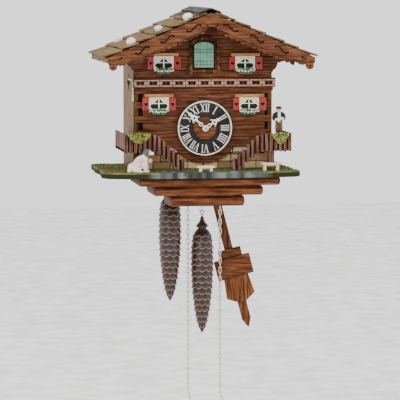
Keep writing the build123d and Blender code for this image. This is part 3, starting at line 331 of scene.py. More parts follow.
class Shape:
    """A mesh built up from simple bodies in millimetres, then turned into one piece."""

    def __init__(self):
        self.mesh = bmesh.new()
        self.paint = self.mesh.verts.layers.float_color.new("paint")

    def colour(self, verts, rgb):
        for vert in verts:
            vert[self.paint] = (*rgb, 1.0)

    def box(self, low, high, rgb=None, matrix=None):
        """Box between two corners (x, y, height)."""
        a, b = at(*low), at(*high)
        place = Matrix.Translation((a + b) / 2) @ Matrix.Diagonal((*[abs(v) for v in b - a], 1))
        made = bmesh.ops.create_cube(self.mesh, size=1.0, matrix=(matrix or Matrix()) @ place)
        if rgb:
            self.colour(made["verts"], rgb)
        return made["verts"]

    def prism(self, points, y_front, y_back, rgb=None, matrix=None):
        """Polygon of (x, height) points, extruded from front to back."""
        rings = []
        for y in (y_front, y_back):
            rings.append([self.mesh.verts.new(at(x, y, height)) for x, height in points])
        front, back = rings
        self.mesh.faces.new(front)
        self.mesh.faces.new(back[::-1])
        count = len(points)
        for index in range(count):
            after = (index + 1) % count
            self.mesh.faces.new((front[after], front[index], back[index], back[after]))
        if matrix:
            bmesh.ops.transform(self.mesh, matrix=matrix, verts=front + back)
        if rgb:
            self.colour(front + back, rgb)
        return front + back

    def ball(self, centre, radii, rgb=None, turn=(0, 0, 0), segments=16):
        """Ellipsoid about (x, y, height), turned by degrees about X, Y and Z."""
        rotation = Matrix.Identity(4)
        for axis, angle in zip("XYZ", turn):
            rotation = Matrix.Rotation(radians(angle), 4, axis) @ rotation
        size = Matrix.Diagonal((*[r * MM for r in radii], 1))
        made = bmesh.ops.create_uvsphere(self.mesh, u_segments=segments, v_segments=segments * 3 // 4,
                                         radius=1.0,
                                         matrix=Matrix.Translation(at(*centre)) @ rotation @ size)
        if rgb:
            self.colour(made["verts"], rgb)
        return made["verts"]

    def lathe(self, profile, x, y, steps=32, rgb=None):
        """Solid of revolution about an upright axis from (radius, height) points."""
        rings = []
        for radius, height in profile:
            if radius < 0.01:
                rings.append([self.mesh.verts.new(at(x, y, height))])
                continue
            rings.append([self.mesh.verts.new(at(x + radius * cos(a), y + radius * sin(a), height))
                          for a in ring_angles(steps)])
        self.join_rings(rings, steps)
        if rgb:
            for ring in rings:
                self.colour(ring, rgb)
        return rings

    def spindle(self, profile, x, height, steps):
        """Rings about a front-to-back axis from (radius, y) points."""
        rings = []
        for radius, y in profile:
            rings.append([self.mesh.verts.new(at(x + radius * cos(a), y, height + radius * sin(a)))
                          for a in ring_angles(steps)])
        self.join_rings(rings, steps)
        return rings

    def join_rings(self, rings, steps):
        for one, two in zip(rings, rings[1:]):
            for k in range(steps):
                after = (k + 1) % steps
                if len(one) == 1 and len(two) == 1:
                    continue
                if len(one) == 1:
                    self.mesh.faces.new((one[0], two[k], two[after]))
                elif len(two) == 1:
                    self.mesh.faces.new((one[k], two[0], one[after]))
                else:
                    self.mesh.faces.new((one[k], two[k], two[after], one[after]))

    def tube(self, points, radius, steps=8, rgb=None, closed=False):
        """Round bar along points (x, y, height)."""
        path = [at(*p) for p in points]
        count = len(path)
        rings = []
        for index, point in enumerate(path):
            before = path[index - 1] if index or closed else path[0]
            after = path[(index + 1) % count] if index < count - 1 or closed else path[-1]
            along = (after - before).normalized()
            side = along.cross(Vector((0, 1, 0)))
            if side.length < 0.1:
                side = along.cross(Vector((1, 0, 0)))
            side.normalize()
            other = along.cross(side)
            rings.append([self.mesh.verts.new(point + (side * cos(a) + other * sin(a)) * radius * MM)
                          for a in ring_angles(steps)])
        if closed:
            self.join_rings(rings + [rings[0]], steps)
        else:
            self.join_rings(rings, steps)
            self.mesh.faces.new(rings[0])
            self.mesh.faces.new(rings[-1][::-1])
        if rgb:
            for ring in rings:
                self.colour(ring, rgb)
        return [vert for ring in rings for vert in ring]

    def piece(self, name, material, body="case", stands_for=(), bevel=0.0, smooth=False, turn=None):
        """Finish the mesh as a piece that rides on a body."""
        if turn:
            bmesh.ops.transform(self.mesh, matrix=turn, verts=self.mesh.verts)
        bmesh.ops.recalc_face_normals(self.mesh, faces=self.mesh.faces)
        data = bpy.data.meshes.new(name)
        self.mesh.to_mesh(data)
        self.mesh.free()
        return place_mesh(name, data, material, body, stands_for, bevel, smooth)


def place_mesh(name, data, material, body="case", stands_for=(), bevel=0.0, smooth=False):
    obj = bpy.data.objects.new(name, data)
    bpy.context.scene.collection.objects.link(obj)
    data.materials.clear()
    data.materials.append(material)
    if bevel:
        edge = obj.modifiers.new("edge", "BEVEL")
        edge.width = bevel * MM
        edge.segments = 3
        edge.limit_method = "ANGLE"
        edge.angle_limit = radians(35)
        edge.harden_normals = False
    for face in data.polygons:
        face.use_smooth = smooth
    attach(obj, body)
    if stands_for:
        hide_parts(*stands_for)
    return obj


def flat_mesh(name, loops, extrude, bevel, resolution):
    """Plate in the XY plane with holes, from closed loops of points in metres."""
    curve = bpy.data.curves.new(name, "CURVE")
    curve.dimensions = "2D"
    curve.fill_mode = "BOTH"
    curve.extrude = extrude * MM
    curve.bevel_depth = bevel * MM
    curve.bevel_resolution = resolution
    curve.offset = -bevel * MM
    for loop in loops:
        spline = curve.splines.new("POLY")
        spline.points.add(len(loop) - 1)
        for point, (u, v) in zip(spline.points, loop):
            point.co = (u, v, 0, 1)
        spline.use_cyclic_u = True
    obj = bpy.data.objects.new(name, curve)
    data = bpy.data.meshes.new_from_object(obj)
    bpy.data.objects.remove(obj)
    return data


def cutout_mesh(loops, y_front, thick, bevel=0.0):
    """Upright plate with holes, from closed loops of (x, height) points in millimetres."""
    upright = [[(x * MM, (BASE_TOP + height) * MM) for x, height in loop] for loop in loops]
    data = flat_mesh("cutout", upright, thick / 2 - bevel, bevel, 2)
    stand = Matrix.Translation((0, (y_front + thick / 2) * MM, 0)) @ Matrix.Rotation(pi / 2, 4, "X")
    data.transform(stand)
    return data


def joined(meshes):
    """One mesh from several."""
    whole = bmesh.new()
    for data in meshes:
        whole.from_mesh(data)
        bpy.data.meshes.remove(data)
    data = bpy.data.meshes.new("joined")
    whole.to_mesh(data)
    whole.free()
    return data


def circle(x, height, radius, steps=40):
    return [(x + radius * cos(a), height + radius * sin(a)) for a in ring_angles(steps)]


def mirrored(points):
    return [(-x, z) for x, z in reversed(points)]


# ---- chains -----------------------------------------------------------------------
def spline_points(points):
    """The line of a smooth NURBS spline through the route, as points in metres."""
    curve = bpy.data.curves.new("route", "CURVE")
    curve.dimensions = "3D"
    curve.resolution_u = 12
    spline = curve.splines.new("NURBS")
    spline.points.add(len(points) - 1)
    for point, place in zip(spline.points, points):
        point.co = (*at(*place), 1)
    spline.order_u = 3
    spline.use_endpoint_u = True
    obj = bpy.data.objects.new("route", curve)
    data = bpy.data.meshes.new_from_object(obj)
    line = [vert.co.copy() for vert in data.vertices]
    bpy.data.objects.remove(obj)
    bpy.data.meshes.remove(data)
    return line


def chain_mesh(line, quarter=0.0):
    """Oval wire links one pitch apart along a line of points, each a quarter turn from the last."""
    around = 14
    steps = 6
    half = LINK_PITCH / 2 * MM
    bend = (LINK_WIDTH - LINK_WIRE) / 2 * MM
    wire = LINK_WIRE / 2 * MM
    centre_line = []
    for k in range(around):
        angle = 2 * pi * k / around
        shift = (half - bend + wire) * (1 if cos(angle) > 0 else -1)
        centre_line.append((bend * cos(angle) + shift, bend * sin(angle),
                            Vector((cos(angle), sin(angle), 0))))
    lengths = [0.0]
    for one, two in zip(line, line[1:]):
        lengths.append(lengths[-1] + (two - one).length)
    shape = bmesh.new()
    side = Vector((1, 0, 0))
    index = 0
    count = int(lengths[-1] / (LINK_PITCH * MM))
    for link in range(count):
        reach = (link + 0.5) * LINK_PITCH * MM
        while index < len(lengths) - 2 and lengths[index + 1] < reach:
            index += 1
        span = lengths[index + 1] - lengths[index]
        share = (reach - lengths[index]) / span if span else 0.0
        point = line[index].lerp(line[index + 1], share)
        along = (line[index + 1] - line[index]).normalized()
        side = (side - along * side.dot(along)).normalized()
        other = along.cross(side)
        angle = radians(quarter + 90 * (link % 2))
        wide = side * cos(angle) + other * sin(angle)
        deep = along.cross(wide)
        rings = []
        for u, v, out in centre_line:
            outward = along * out.x + wide * out.y
            core = point + along * u + wide * v
            rings.append([shape.verts.new(core + (outward * cos(2 * pi * s / steps)
                                                  + deep * sin(2 * pi * s / steps)) * wire)
                          for s in range(steps)])
        for k in range(around):
            one, two = rings[k], rings[(k + 1) % around]
            for s in range(steps):
                after = (s + 1) % steps
                shape.faces.new((one[s], two[s], two[after], one[after]))
    bmesh.ops.recalc_face_normals(shape, faces=shape.faces)
    data = bpy.data.meshes.new("chain")
    shape.to_mesh(data)
    shape.free()
    return data


HANK_TOP = -252.0
HANK_LOW = -316.0


def hank_route(x):
    """Strand down from the chain wheel, nine upright loops side by side, and the tail to the ring."""
    route = [(0, 0, 24), (0, 0, -30), (0, 0, -90), (0, 0, -150), (0, 0, -205), (0, 0, -236),
             (1.5, -5, -243.5), (6.0, -11.5, -248.5)]
    turns = 9
    pitch = 3.72
    half = 7.6
    top, low = HANK_TOP - 1.9, HANK_LOW + 1.9
    for turn in range(turns):
        y = -14.9 + pitch * turn
        wobble = 0.35 * sin(turn * 2.3)
        route += [(half, y, top - 6), (half + wobble, y, top - 20), (half, y, low + 20),
                  (half, y, low + 5.5), (half * 0.62, y, low + 0.6), (0, y, low - 0.3)]
        if turn == turns - 1:
            break
        route += [(-half * 0.62, y, low + 0.6), (-half, y + 0.5, low + 5.5),
                  (-half - wobble, y + 1.2, low + 20), (-half, y + 1.8, top - 20),
                  (-half, y + 2.4, top - 5.5), (-half * 0.62, y + 2.9, top - 0.6),
                  (0, y + 3.3, top + 0.3), (half * 0.62, y + 3.6, top - 0.6)]
    route[-2:] = [(half, 14.7, low + 3.0), (half * 0.6, 12.5, low - 4.3)]
    route += [(1.5, 5, low - 5.6), (0, 0.6, low - 6.6), (0, 0, low - 9.6)]
    return [(x + dx, CHAIN_Y + dy, height) for dx, dy, height in route]


def make_chain(label, centre, hook_top):
    free_x = centre + SPROCKET_R
    line = spline_points(hank_route(free_x))
    tie = Shape()
    for height in (-268.0, -300.0):
        tie.tube([(free_x + 10.0 * cos(a), CHAIN_Y + 17.2 * sin(a), height)
                  for a in ring_angles(32)], 0.55, closed=True)
    tie.tube([(free_x + 2, CHAIN_Y - 17.4, -268), (free_x + 3, CHAIN_Y - 19, -271),
              (free_x + 2, CHAIN_Y - 19.4, -275)], 0.5)
    tie_piece = tie.piece(f"{label}_hank_tie", mat["steel"], f"{label}_free_end", smooth=True)
    ring = Shape()
    ring.tube([(free_x + 4.2 * sin(a), CHAIN_Y, HANK_LOW - 13 + 4.2 * cos(a))
               for a in ring_angles(32)], 0.7, closed=True)
    ring_piece = ring.piece(f"{label}_pull_ring", mat["chain"], f"{label}_free_end",
                            [f"{label}_chain_ring"], smooth=True)
    chain = place_mesh(f"{label}_chain", chain_mesh(line), mat["chain"], f"{label}_free_end",
                       [f"{label}_free_chain", f"{label}_chain_hank"], smooth=True)
    # over the chain wheel, and down to the weight's hook
    bow = [at(centre + SPROCKET_R * cos(a), CHAIN_Y, SPROCKET_HEIGHT + SPROCKET_R * sin(a))
           for a in [pi * k / 24 for k in range(25)]]
    place_mesh(f"{label}_chain_on_wheel", chain_mesh(bow), mat["chain"], "case", smooth=True)
    strand = [at(centre - SPROCKET_R, CHAIN_Y, hook_top - 0.5),
              at(centre - SPROCKET_R, CHAIN_Y, SPROCKET_HEIGHT + 36)]
    place_mesh(f"{label}_weight_strand", chain_mesh(strand), mat["chain"], f"{label}_weight",
               [f"{label}_weight_chain"], smooth=True)


# ---- cone weights -----------------------------------------------------------------
COPPER_DARK = (0.010, 0.0045, 0.003)
COPPER_MID = (0.048, 0.020, 0.013)
COPPER_LIGHT = (0.36, 0.215, 0.155)


def lerp3(one, two, share):
    return tuple(a + (b - a) * share for a, b in zip(one, two))


def profile_value(points, value):
    """Linear interpolation of (position, value) points."""
    for (p0, v0), (p1, v1) in zip(points, points[1:]):
        if p0 <= value <= p1:
            share = (value - p0) / (p1 - p0)
            return v0 + (v1 - v0) * share
    return points[-1][1]


def make_weight(label, x, cap):
    """Pine cone cast in iron: overlapping scale rows under a smooth flared cap."""
    body = [(13.0, 6.4), (16, 8.6), (22, 10.6), (32, 11.7), (52, 12.0), (74, 10.9), (94, 8.4),
            (108, 5.6), (116, 3.0), (120.3, 0.4)]
    rows = 18
    per_row = 9
    first, last = 13.0, 120.0
    around = 144
    down = 300
    shape = Shape()
    rings = []
    for k in range(down + 1):
        depth = first + (last - first) * k / down
        radius = profile_value(body, depth)
        row_place = (depth - first) / (last - first) * rows
        ring = []
        for j in range(around):
            turn = j / around
            best = 0.0
            edge = 0.0
            for row in (floor(row_place), floor(row_place) - 1):
                local = row_place - row                     # 0 at the scale's root, up to 1.6
                across = (turn * per_row + 0.5 * (row % 2)) % 1.0 - 0.5
                tip = 1.28 - 1.5 * across * across          # rounded lower edge
                if local < tip and row >= 0:
                    rise = local / tip
                    lift = rise * rise * (1.0 - 1.6 * across * across)
                    if lift > best:
                        best = lift
                        edge = max(0.0, (rise - 0.80) / 0.20)
            wave = 0.12 * sin(turn * per_row * 4 * pi + row_place * 3.0)
            r = radius * (0.90 + 0.02 * wave) + 1.55 * best * min(1.0, radius / 6.0)
            angle = 2 * pi * turn
            vert = shape.mesh.verts.new(at(x + r * cos(angle), CHAIN_Y + r * sin(angle), cap - depth))
            tone = lerp3(COPPER_DARK, COPPER_MID, min(1.0, best * 1.3))
            tone = lerp3(tone, COPPER_LIGHT, edge * 0.85)
            vert[shape.paint] = (*tone, 1.0)
            ring.append(vert)
        rings.append(ring)
    tip = shape.mesh.verts.new(at(x, CHAIN_Y, cap - 120.6))
    tip[shape.paint] = (*COPPER_MID, 1.0)
    rings.append([tip])
    shape.join_rings(rings, around)
    neck = [(0, 0.6), (1.3, 0.4), (1.9, -1.0), (2.2, -3.0), (3.1, -5.2), (4.8, -7.2), (6.2, -8.6),
            (6.5, -9.4), (6.0, -10.2), (4.6, -11.0), (4.3, -12.0), (5.2, -13.0), (6.8, -14.2),
            (6.0, -15.2), (0, -15.3)]
    shape.lathe([(r, cap + z) for r, z in neck], x, CHAIN_Y, 40, COPPER_MID)
    shape.piece(f"{label}_cone", mat["cone"], f"{label}_weight", [f"{label}_weight"], smooth=True)
    hook = Shape()
    hook.tube([(x, CHAIN_Y, cap - 1), (x, CHAIN_Y, cap + 2.4)], 0.7)
    hook.tube([(x + 1.9 * sin(a), CHAIN_Y, cap + 4.5 + 1.9 * cos(a))
               for a in ring_angles(24)], 0.6, closed=True)
    hook.tube([(x - 1.5, CHAIN_Y, cap + 5.5), (x - 2.8, CHAIN_Y - 0.6, cap + 6.6),
               (x - 3.4, CHAIN_Y - 0.8, cap + 8.0)], 0.45)
    hook.piece(f"{label}_weight_hook", mat["steel"], f"{label}_weight", smooth=True)


# ---- house front ------------------------------------------------------------------
BRACKET = [(92.0, 68.3), (95.0, 68.6), (98.0, 70.6), (101.3, 73.8), (104.0, 75.0), (106.4, 76.2),
           (107.6, 79.5), (108.8, 84.1)]


def front_half_width(height):
    """Half width of the carved front at a height."""
    if height >= 108.8:
        return min(84.1, (ROOF_APEX - ROOF_THICK - height) / ROOF_SLOPE)
    if height >= 92.0:
        return profile_value(BRACKET, height)
    if height <= 22.6:
        return sqrt(max(0.0, BOSS_R ** 2 - (DIAL_HEIGHT - height) ** 2))
    return 0.0


def make_front():
    """Log courses, each its own rounded board, cut round the door and the dial boss."""
    levels = [5.6, 9.0, 15.5, 22.6, 32.0, 39.6, 47.0, 54.0, 61.5, 68.5, 76.0, 84.0, 92.0, 99.3,
              106.3, 113.3, 120.3, 127.3, 134.3, 141.3, 147.3, 152.8]
    door_top = DOOR_SPRING + DOOR_RISE + 0.7
    shape = Shape()
    ends = Shape()
    seams = Shape()
    for index, (low, high) in enumerate(zip(levels, levels[1:])):
        # painted shade: a near-black strip under each course stands in for the shadowed seam between logs,
        # open across the cuckoo's doorway
        if low > 15.0:
            outer = 62.0 if low < 92.0 else front_half_width(low) - 0.8
            inner = door_half(low, 0.9)
            for side in (-1, 1):
                seams.box((side * inner, FACADE_Y + 0.55, low - 0.45),
                          (side * outer, FACADE_BACK - 0.5, low + 0.45))
        flat = 22.6 <= low < 92.0
        long_log = index % 2 == 0 or low >= 76.0
        half = 69.3 if long_log else 62.3
        samples = [low + 0.25 + (high - low - 0.5) * k / 6 for k in range(7)]
        if flat:
            edge = [(half, low + 0.25), (half, high - 0.25)]
        else:
            edge = [(front_half_width(h), h) for h in samples]
        if low < DOOR_LOW - 1 < high or (low >= DOOR_LOW - 1 and low < door_top):
            inner = []
            for h in samples:
                inner.append((door_half(h, 0.7), h))
            for side in (-1, 1):
                points = [(side * a, h) for a, h in edge] + [(side * a, h) for a, h in reversed(inner)]
                shape.prism(points, FACADE_Y, FACADE_BACK)
        else:
            points = edge + mirrored(edge)
            shape.prism(points, FACADE_Y, FACADE_BACK)
        if flat and not long_log:
            for side in (-1, 1):
                ends.box((side * (half - 1.0), FACADE_Y + 1.2, low + 0.9),
                         (side * (half + 3.2), FACADE_BACK, high - 0.9))
    shape.piece("log_front", mat["front"], stands_for=["facade"], bevel=0.9)
    ends.piece("cross_log_ends", mat["groove"], bevel=0.8)
    seams.piece("log_seams_painted_shade", mat["groove"])


def door_half(height, grow):
    """Half width of the arched door opening at a height."""
    half = DOOR_HALF + grow
    if height <= DOOR_LOW - grow:
        return 0.0
    if height <= DOOR_SPRING:
        return half
    rise = (height - DOOR_SPRING) / (DOOR_RISE + grow)
    if rise >= 1:
        return 0.0
    return half * sqrt(1 - rise * rise)


def arch_loop(grow, steps=16):
    half = DOOR_HALF + grow
    points = [(-half, DOOR_LOW - grow), (half, DOOR_LOW - grow)]
    for k in range(steps + 1):
        points.append((half * cos(pi * k / steps), DOOR_SPRING + (DOOR_RISE + grow) * sin(pi * k / steps)))
    return points


def make_cuckoo_door():
    plate = cutout_mesh([arch_loop(-0.1)], FACADE_Y + 0.25, 1.75, 0.25)
    place_mesh("mint_door", plate, mat["mint"], "cuckoo_door", ["cuckoo_door"])
    lines = Shape()
    for x in (-3.9, 3.1):
        lines.box((x - 0.22, FACADE_Y + 0.05, DOOR_LOW + 0.6), (x + 0.22, FACADE_Y + 0.6, 127.0))
    for x in (-6.9, -0.6, 6.4):
        lines.box((x - 0.12, FACADE_Y + 0.12, DOOR_LOW + 0.6), (x + 0.12, FACADE_Y + 0.6, 125.4))
    for height in (120.6, 117.7, 108.5, 105.6):
        lines.box((-DOOR_HALF + 0.5, FACADE_Y + 0.03, height - 0.3),
                  (DOOR_HALF - 0.5, FACADE_Y + 0.6, height + 0.3))
    lines.piece("mint_door_lines", mat["mint_line"], "cuckoo_door", bevel=0.08)


def make_door_frame():
    wavy = [(0, 134.6), (4, 133.2), (9, 130.8), (13.6, 129.4), (15.0, 127.6), (13.9, 125.2),
            (14.2, 123.0), (16.6, 120.6), (16.9, 118.6), (14.5, 116.4), (14.4, 114.4), (16.7, 112.0),
            (17.0, 110.0), (14.8, 107.8), (14.9, 105.8), (18.4, 102.4), (18.9, 100.8), (16.4, 98.4),
            (13.2, 95.2), (9.0, 95.9), (4.0, 96.6), (0, 96.2)]
    outline = wavy + mirrored(wavy)[1:-1]
    plate = cutout_mesh([outline, arch_loop(1.2)], FACADE_Y - 3.0, 3.0, 0.5)
    place_mesh("carved_frame", plate, mat["front_z"], stands_for=["door_frame"])
    # painted shade: near-black lines stand in for the shadow in the carved groove and in the recess round the
    # door
    line = Shape()
    inner = [(x * 0.90, 114 + (z - 114) * 0.93) for x, z in outline]
    line.tube([(x, FACADE_Y - 3.0, z) for x, z in inner], 0.35, 6, closed=True)
    rim = arch_loop(1.8)
    line.tube([(x, FACADE_Y - 3.0, z) for x, z in rim], 0.4, 6, closed=True)
    line.piece("carved_frame_groove_shade", mat["groove"], smooth=True)


def make_band():
    """Crossing board with a row of pale framed squares and dark bow ties."""
    board = Shape()
    board.box((-72.5, FACADE_Y - 4.3, 82.4), (72.5, FACADE_Y, 91.6))
    board.box((-70.5, FACADE_Y - 2.2, 79.0), (70.5, FACADE_Y, 82.2))
    board.box((-72.5, FACADE_Y - 4.6, 91.0), (72.5, FACADE_Y, 91.9))
    board.piece("band_board", mat["band"], stands_for=["decor_band"], bevel=0.35)
    pale = []
    dark = Shape()
    pitch = 13.1
    front = FACADE_Y - 4.3
    for k in range(11):
        x = (k - 5) * pitch
        outer = [(x - 6.0, 83.6), (x + 6.0, 83.6), (x + 6.0, 90.4), (x - 6.0, 90.4)]
        inner = [(x - 4.9, 84.9), (x + 4.9, 84.9), (x + 4.9, 89.1), (x - 4.9, 89.1)]
        pale.append(cutout_mesh([outer, inner], front - 0.35, 0.5))
        for side in (-1, 1):
            pale.append(cutout_mesh([circle(x + side * 5.2, 87.0, 1.5, 12)], front - 0.3, 0.5))
            dark.prism([(x + side * 0.4, 87.0), (x + side * 2.6, 88.9), (x + side * 3.6, 87.0),
                        (x + side * 2.6, 85.1)], front - 0.35, front + 0.1)
    place_mesh("band_inlay", joined(pale), mat["inlay"])
    dark.piece("band_bow_ties", mat["groove"])


WINDOWS = [(-41.2, 107.2), (41.8, 106.7), (-46.2, 66.2), (46.0, 65.5)]
WINDOW_W = 20.4
WINDOW_H = 13.4


def make_windows():
    frames = []
    panes = Shape()
    curls = Shape()
    lintels = Shape()
    for x, height in WINDOWS:
        rect = [(x - WINDOW_W / 2, height - WINDOW_H / 2), (x + WINDOW_W / 2, height - WINDOW_H / 2),
                (x + WINDOW_W / 2, height + WINDOW_H / 2), (x - WINDOW_W / 2, height + WINDOW_H / 2)]
        loops = [rect]
        for side in (-1, 1):
            loops.append([(x + side * a, height + b) for a, b in
                          ((0.6, 5.2), (2.2, 3.6), (4.7, 0.9), (0.6, 0.9))])
            loops.append([(x + side * a, height + b) for a, b in
                          ((0.6, -0.1), (7.2, -0.1), (9.1, -2.2), (7.0, -5.0), (0.6, -5.0))])
            for row in range(3):
                cx = x + side * (3.4 + row * 2.2)
                cz = height + 4.6 - 0.9 * row
                curls.tube([(cx + (0.9 - 0.02 * t) * cos(0.5 * t), FACADE_Y - 1.55,
                             cz + (0.8 - 0.05 * t) * sin(0.5 * t)) for t in range(10)], 0.17, 5)
                curls.tube([(cx + side * 1.0 + 0.6 * cos(0.6 * t), FACADE_Y - 1.55,
                             cz - 2.3 + 0.6 * sin(0.6 * t)) for t in range(8)], 0.15, 5)
        frames.append(cutout_mesh(loops, FACADE_Y - 1.5, 1.4, 0.12))
        panes.box((x - WINDOW_W / 2 + 0.6, FACADE_Y - 0.7, height - WINDOW_H / 2 + 0.6),
                  (x + WINDOW_W / 2 - 0.6, FACADE_Y - 0.1, height + WINDOW_H / 2 - 0.6))
        lintels.box((x - 14.7, FACADE_Y - 4.0, height + WINDOW_H / 2 + 0.2),
                    (x + 14.7, FACADE_Y, height + WINDOW_H / 2 + 3.3))
    place_mesh("window_frames", joined(frames), mat["cream"], stands_for=["windows"])
    panes.piece("window_panes", mat["pane"], bevel=0.1)
    curls.piece("window_curtain_curls", mat["curl"], smooth=True)
    lintels.piece("window_lintels", mat["lintel"], bevel=0.35)


def heart(size):
    points = []
    for k in range(24):
        t = 2 * pi * k / 24
        points.append((size * 0.062 * 16 * sin(t) ** 3,
                       size * 0.062 * (13 * cos(t) - 5 * cos(2 * t) - 2 * cos(3 * t) - cos(4 * t))))
    return points


def make_shutters():
    """Framed shutters that stand open, with a heart on each."""
    wide = 7.2
    tall = 12.8
    opening = radians(24)
    boards = Shape()
    hearts = Shape()
    for x, height in WINDOWS:
        for side in (-1, 1):
            hinge = at(x + side * (WINDOW_W / 2 + 0.4), FACADE_Y - 1.5, height)
            turn = Matrix.Translation(hinge) @ Matrix.Rotation(-side * opening, 4, "Z")

            def board(x0, x1, y0, y1, z0, z1):
                a, b = Vector((side * x0, y0, z0)) * MM, Vector((side * x1, y1, z1)) * MM
                size = [abs(v) for v in b - a]
                place = Matrix.Translation((a + b) / 2) @ Matrix.Diagonal((*size, 1))
                bmesh.ops.create_cube(boards.mesh, size=1.0, matrix=turn @ place)

            board(0.3, wide, -0.9, 0, -tall / 2, tall / 2)
            board(0.3, 1.2, -1.25, -0.6, -tall / 2, tall / 2)
            board(wide - 0.9, wide, -1.25, -0.6, -tall / 2, tall / 2)
            board(1.2, wide - 0.9, -1.25, -0.6, tall / 2 - 0.9, tall / 2)
            board(1.2, wide - 0.9, -1.25, -0.6, -tall / 2, -tall / 2 + 0.9)
            outline = [Vector((side * wide / 2 + a, 0, b - 0.3)) for a, b in heart(1.9)]
            front = [hearts.mesh.verts.new(turn @ (v * MM + Vector((0, -1.05 * MM, 0)))) for v in outline]
            back = [hearts.mesh.verts.new(turn @ (v * MM + Vector((0, -0.8 * MM, 0)))) for v in outline]
            hearts.mesh.faces.new(front)
            for k in range(len(front)):
                after = (k + 1) % len(front)
                hearts.mesh.faces.new((front[after], front[k], back[k], back[after]))
    boards.piece("red_shutters", mat["red"], stands_for=["shutters"], bevel=0.15)
    hearts.piece("shutter_hearts", mat["groove"])


def make_flower_boxes():
    """Box of leaves and white flowers under each window."""
    boxes = Shape()
    leaves = Shape()
    flowers = Shape()
    for x, height in WINDOWS:
        low = height - WINDOW_H / 2
        boxes.prism([(x - 9.0, low), (x - 6.2, low - 4.4), (x + 6.2, low - 4.4), (x + 9.0, low)],
                    FACADE_Y - 3.4, FACADE_Y)
        for _ in range(90):
            a = random.uniform(-1, 1)
            px = x + a * 9.6
            pz = low + random.uniform(-3.6, 0.9) * (1.1 - 0.6 * abs(a)) + 0.2
            size = random.uniform(0.45, 0.95)
            leaves.ball((px, FACADE_Y - random.uniform(2.6, 4.6), pz), (size * 1.2, size * 0.6, size),
                        turn=(random.uniform(-40, 40), random.uniform(0, 90), 0), segments=6)
        for centre in (-9.0, -6.8, -4.0, -1.6, 0.9, 3.4, 6.0, 9.0):
            for _ in range(4):
                flowers.ball((x + centre + random.uniform(-0.9, 0.9), FACADE_Y - 4.6,
                              low - 1.5 + 0.12 * abs(centre) + random.uniform(-0.8, 0.8)),
                             (0.62, 0.5, 0.62), segments=7)
    boxes.piece("flower_box_boards", mat["leaf"], stands_for=["flower_boxes"], bevel=0.3)
    leaves.piece("flower_box_leaves", mat["leaf"], smooth=True)
    flowers.piece("flower_box_flowers", mat["flower"], smooth=True)


# ---- dial -------------------------------------------------------------------------
def stroke(x0, z0, x1, z1, w0, w1=None):
    """Four-sided stroke between two points, with its own width at each end."""
    w1 = w0 if w1 is None else w1
    return [(x0 - w0 / 2, z0), (x0 + w0 / 2, z0), (x1 + w1 / 2, z1), (x1 - w1 / 2, z1)]


def letter_strokes(letter, x, tall):
    """Roman letter strokes from x, on a base line at 0, and the letter's advance."""
    serif = 0.45
    if letter == "I":
        return [stroke(x + 1.05, 0, x + 1.05, tall, 0.82),
                stroke(x + 1.05, 0, x + 1.05, serif, 1.75),
                stroke(x + 1.05, tall - serif, x + 1.05, tall, 1.75)], 2.25
    if letter == "V":
        return [stroke(x + 2.5, 0, x + 0.9, tall, 0.7, 1.0), stroke(x + 2.5, 0, x + 4.3, tall, 0.45, 0.4),
                stroke(x + 0.9, tall - serif, x + 0.9, tall, 2.2),
                stroke(x + 4.3, tall - serif, x + 4.3, tall, 1.7)], 5.4
    return [stroke(x + 4.3, 0, x + 0.9, tall, 1.0), stroke(x + 0.9, 0, x + 4.3, tall, 0.42),
            stroke(x + 0.9, tall - serif, x + 0.9, tall, 2.1),
            stroke(x + 4.3, tall - serif, x + 4.3, tall, 1.7),
            stroke(x + 0.9, 0, x + 0.9, serif, 1.7), stroke(x + 4.3, 0, x + 4.3, serif, 2.1)], 5.4


def make_dial():
    front = FACADE_Y - 5.0
    base = cutout_mesh([circle(0, DIAL_HEIGHT, DIAL_R, 96), circle(0, DIAL_HEIGHT, 3.0, 32)],
                       front, 5.0, 0.4)
    place_mesh("dial_disc", base, mat["dial"], stands_for=["dial"], smooth=True)
    ring = cutout_mesh([circle(0, DIAL_HEIGHT, DIAL_R, 96), circle(0, DIAL_HEIGHT, DIAL_R - 1.45, 96)],
                       front - 1.1, 1.5, 0.4)
    place_mesh("dial_outer_ring", ring, mat["numeral"], smooth=True)
    centre = Shape()
    profile = [(3.0, 0), (3.0, 1.2), (9.2, 1.2), (9.8, 0.7), (10.4, 1.1), (11.2, 1.2), (11.6, 0.6), (11.6, 0)]
    centre.spindle([(radius, front - lift) for radius, lift in profile], 0, DIAL_HEIGHT, 64)
    centre.piece("dial_centre", mat["front"], smooth=True)
    tall = 8.2
    inner = 16.4
    numerals = ["XII", "I", "II", "III", "IIII", "V", "VI", "VII", "VIII", "IX", "X", "XI"]
    parts = Shape()
    for hour, text in enumerate(numerals):
        strokes = []
        x = 0.0
        for letter in text:
            made, advance = letter_strokes(letter, x, tall)
            strokes += made
            x += advance
        squeeze = min(1.0, 9.4 / x)
        angle = radians(30 * hour)
        for layer, points in enumerate(strokes):
            placed = []
            for px, pz in points:
                u = (px - x / 2) * squeeze * (1 + 0.15 * (pz / tall - 0.5))
                v = inner + pz
                placed.append((u * cos(angle) + v * sin(angle),
                               DIAL_HEIGHT + v * cos(angle) - u * sin(angle)))
            parts.prism(placed, front - 0.55 - 0.01 * layer, front + 0.1)
    parts.piece("dial_numerals", mat["numeral"])


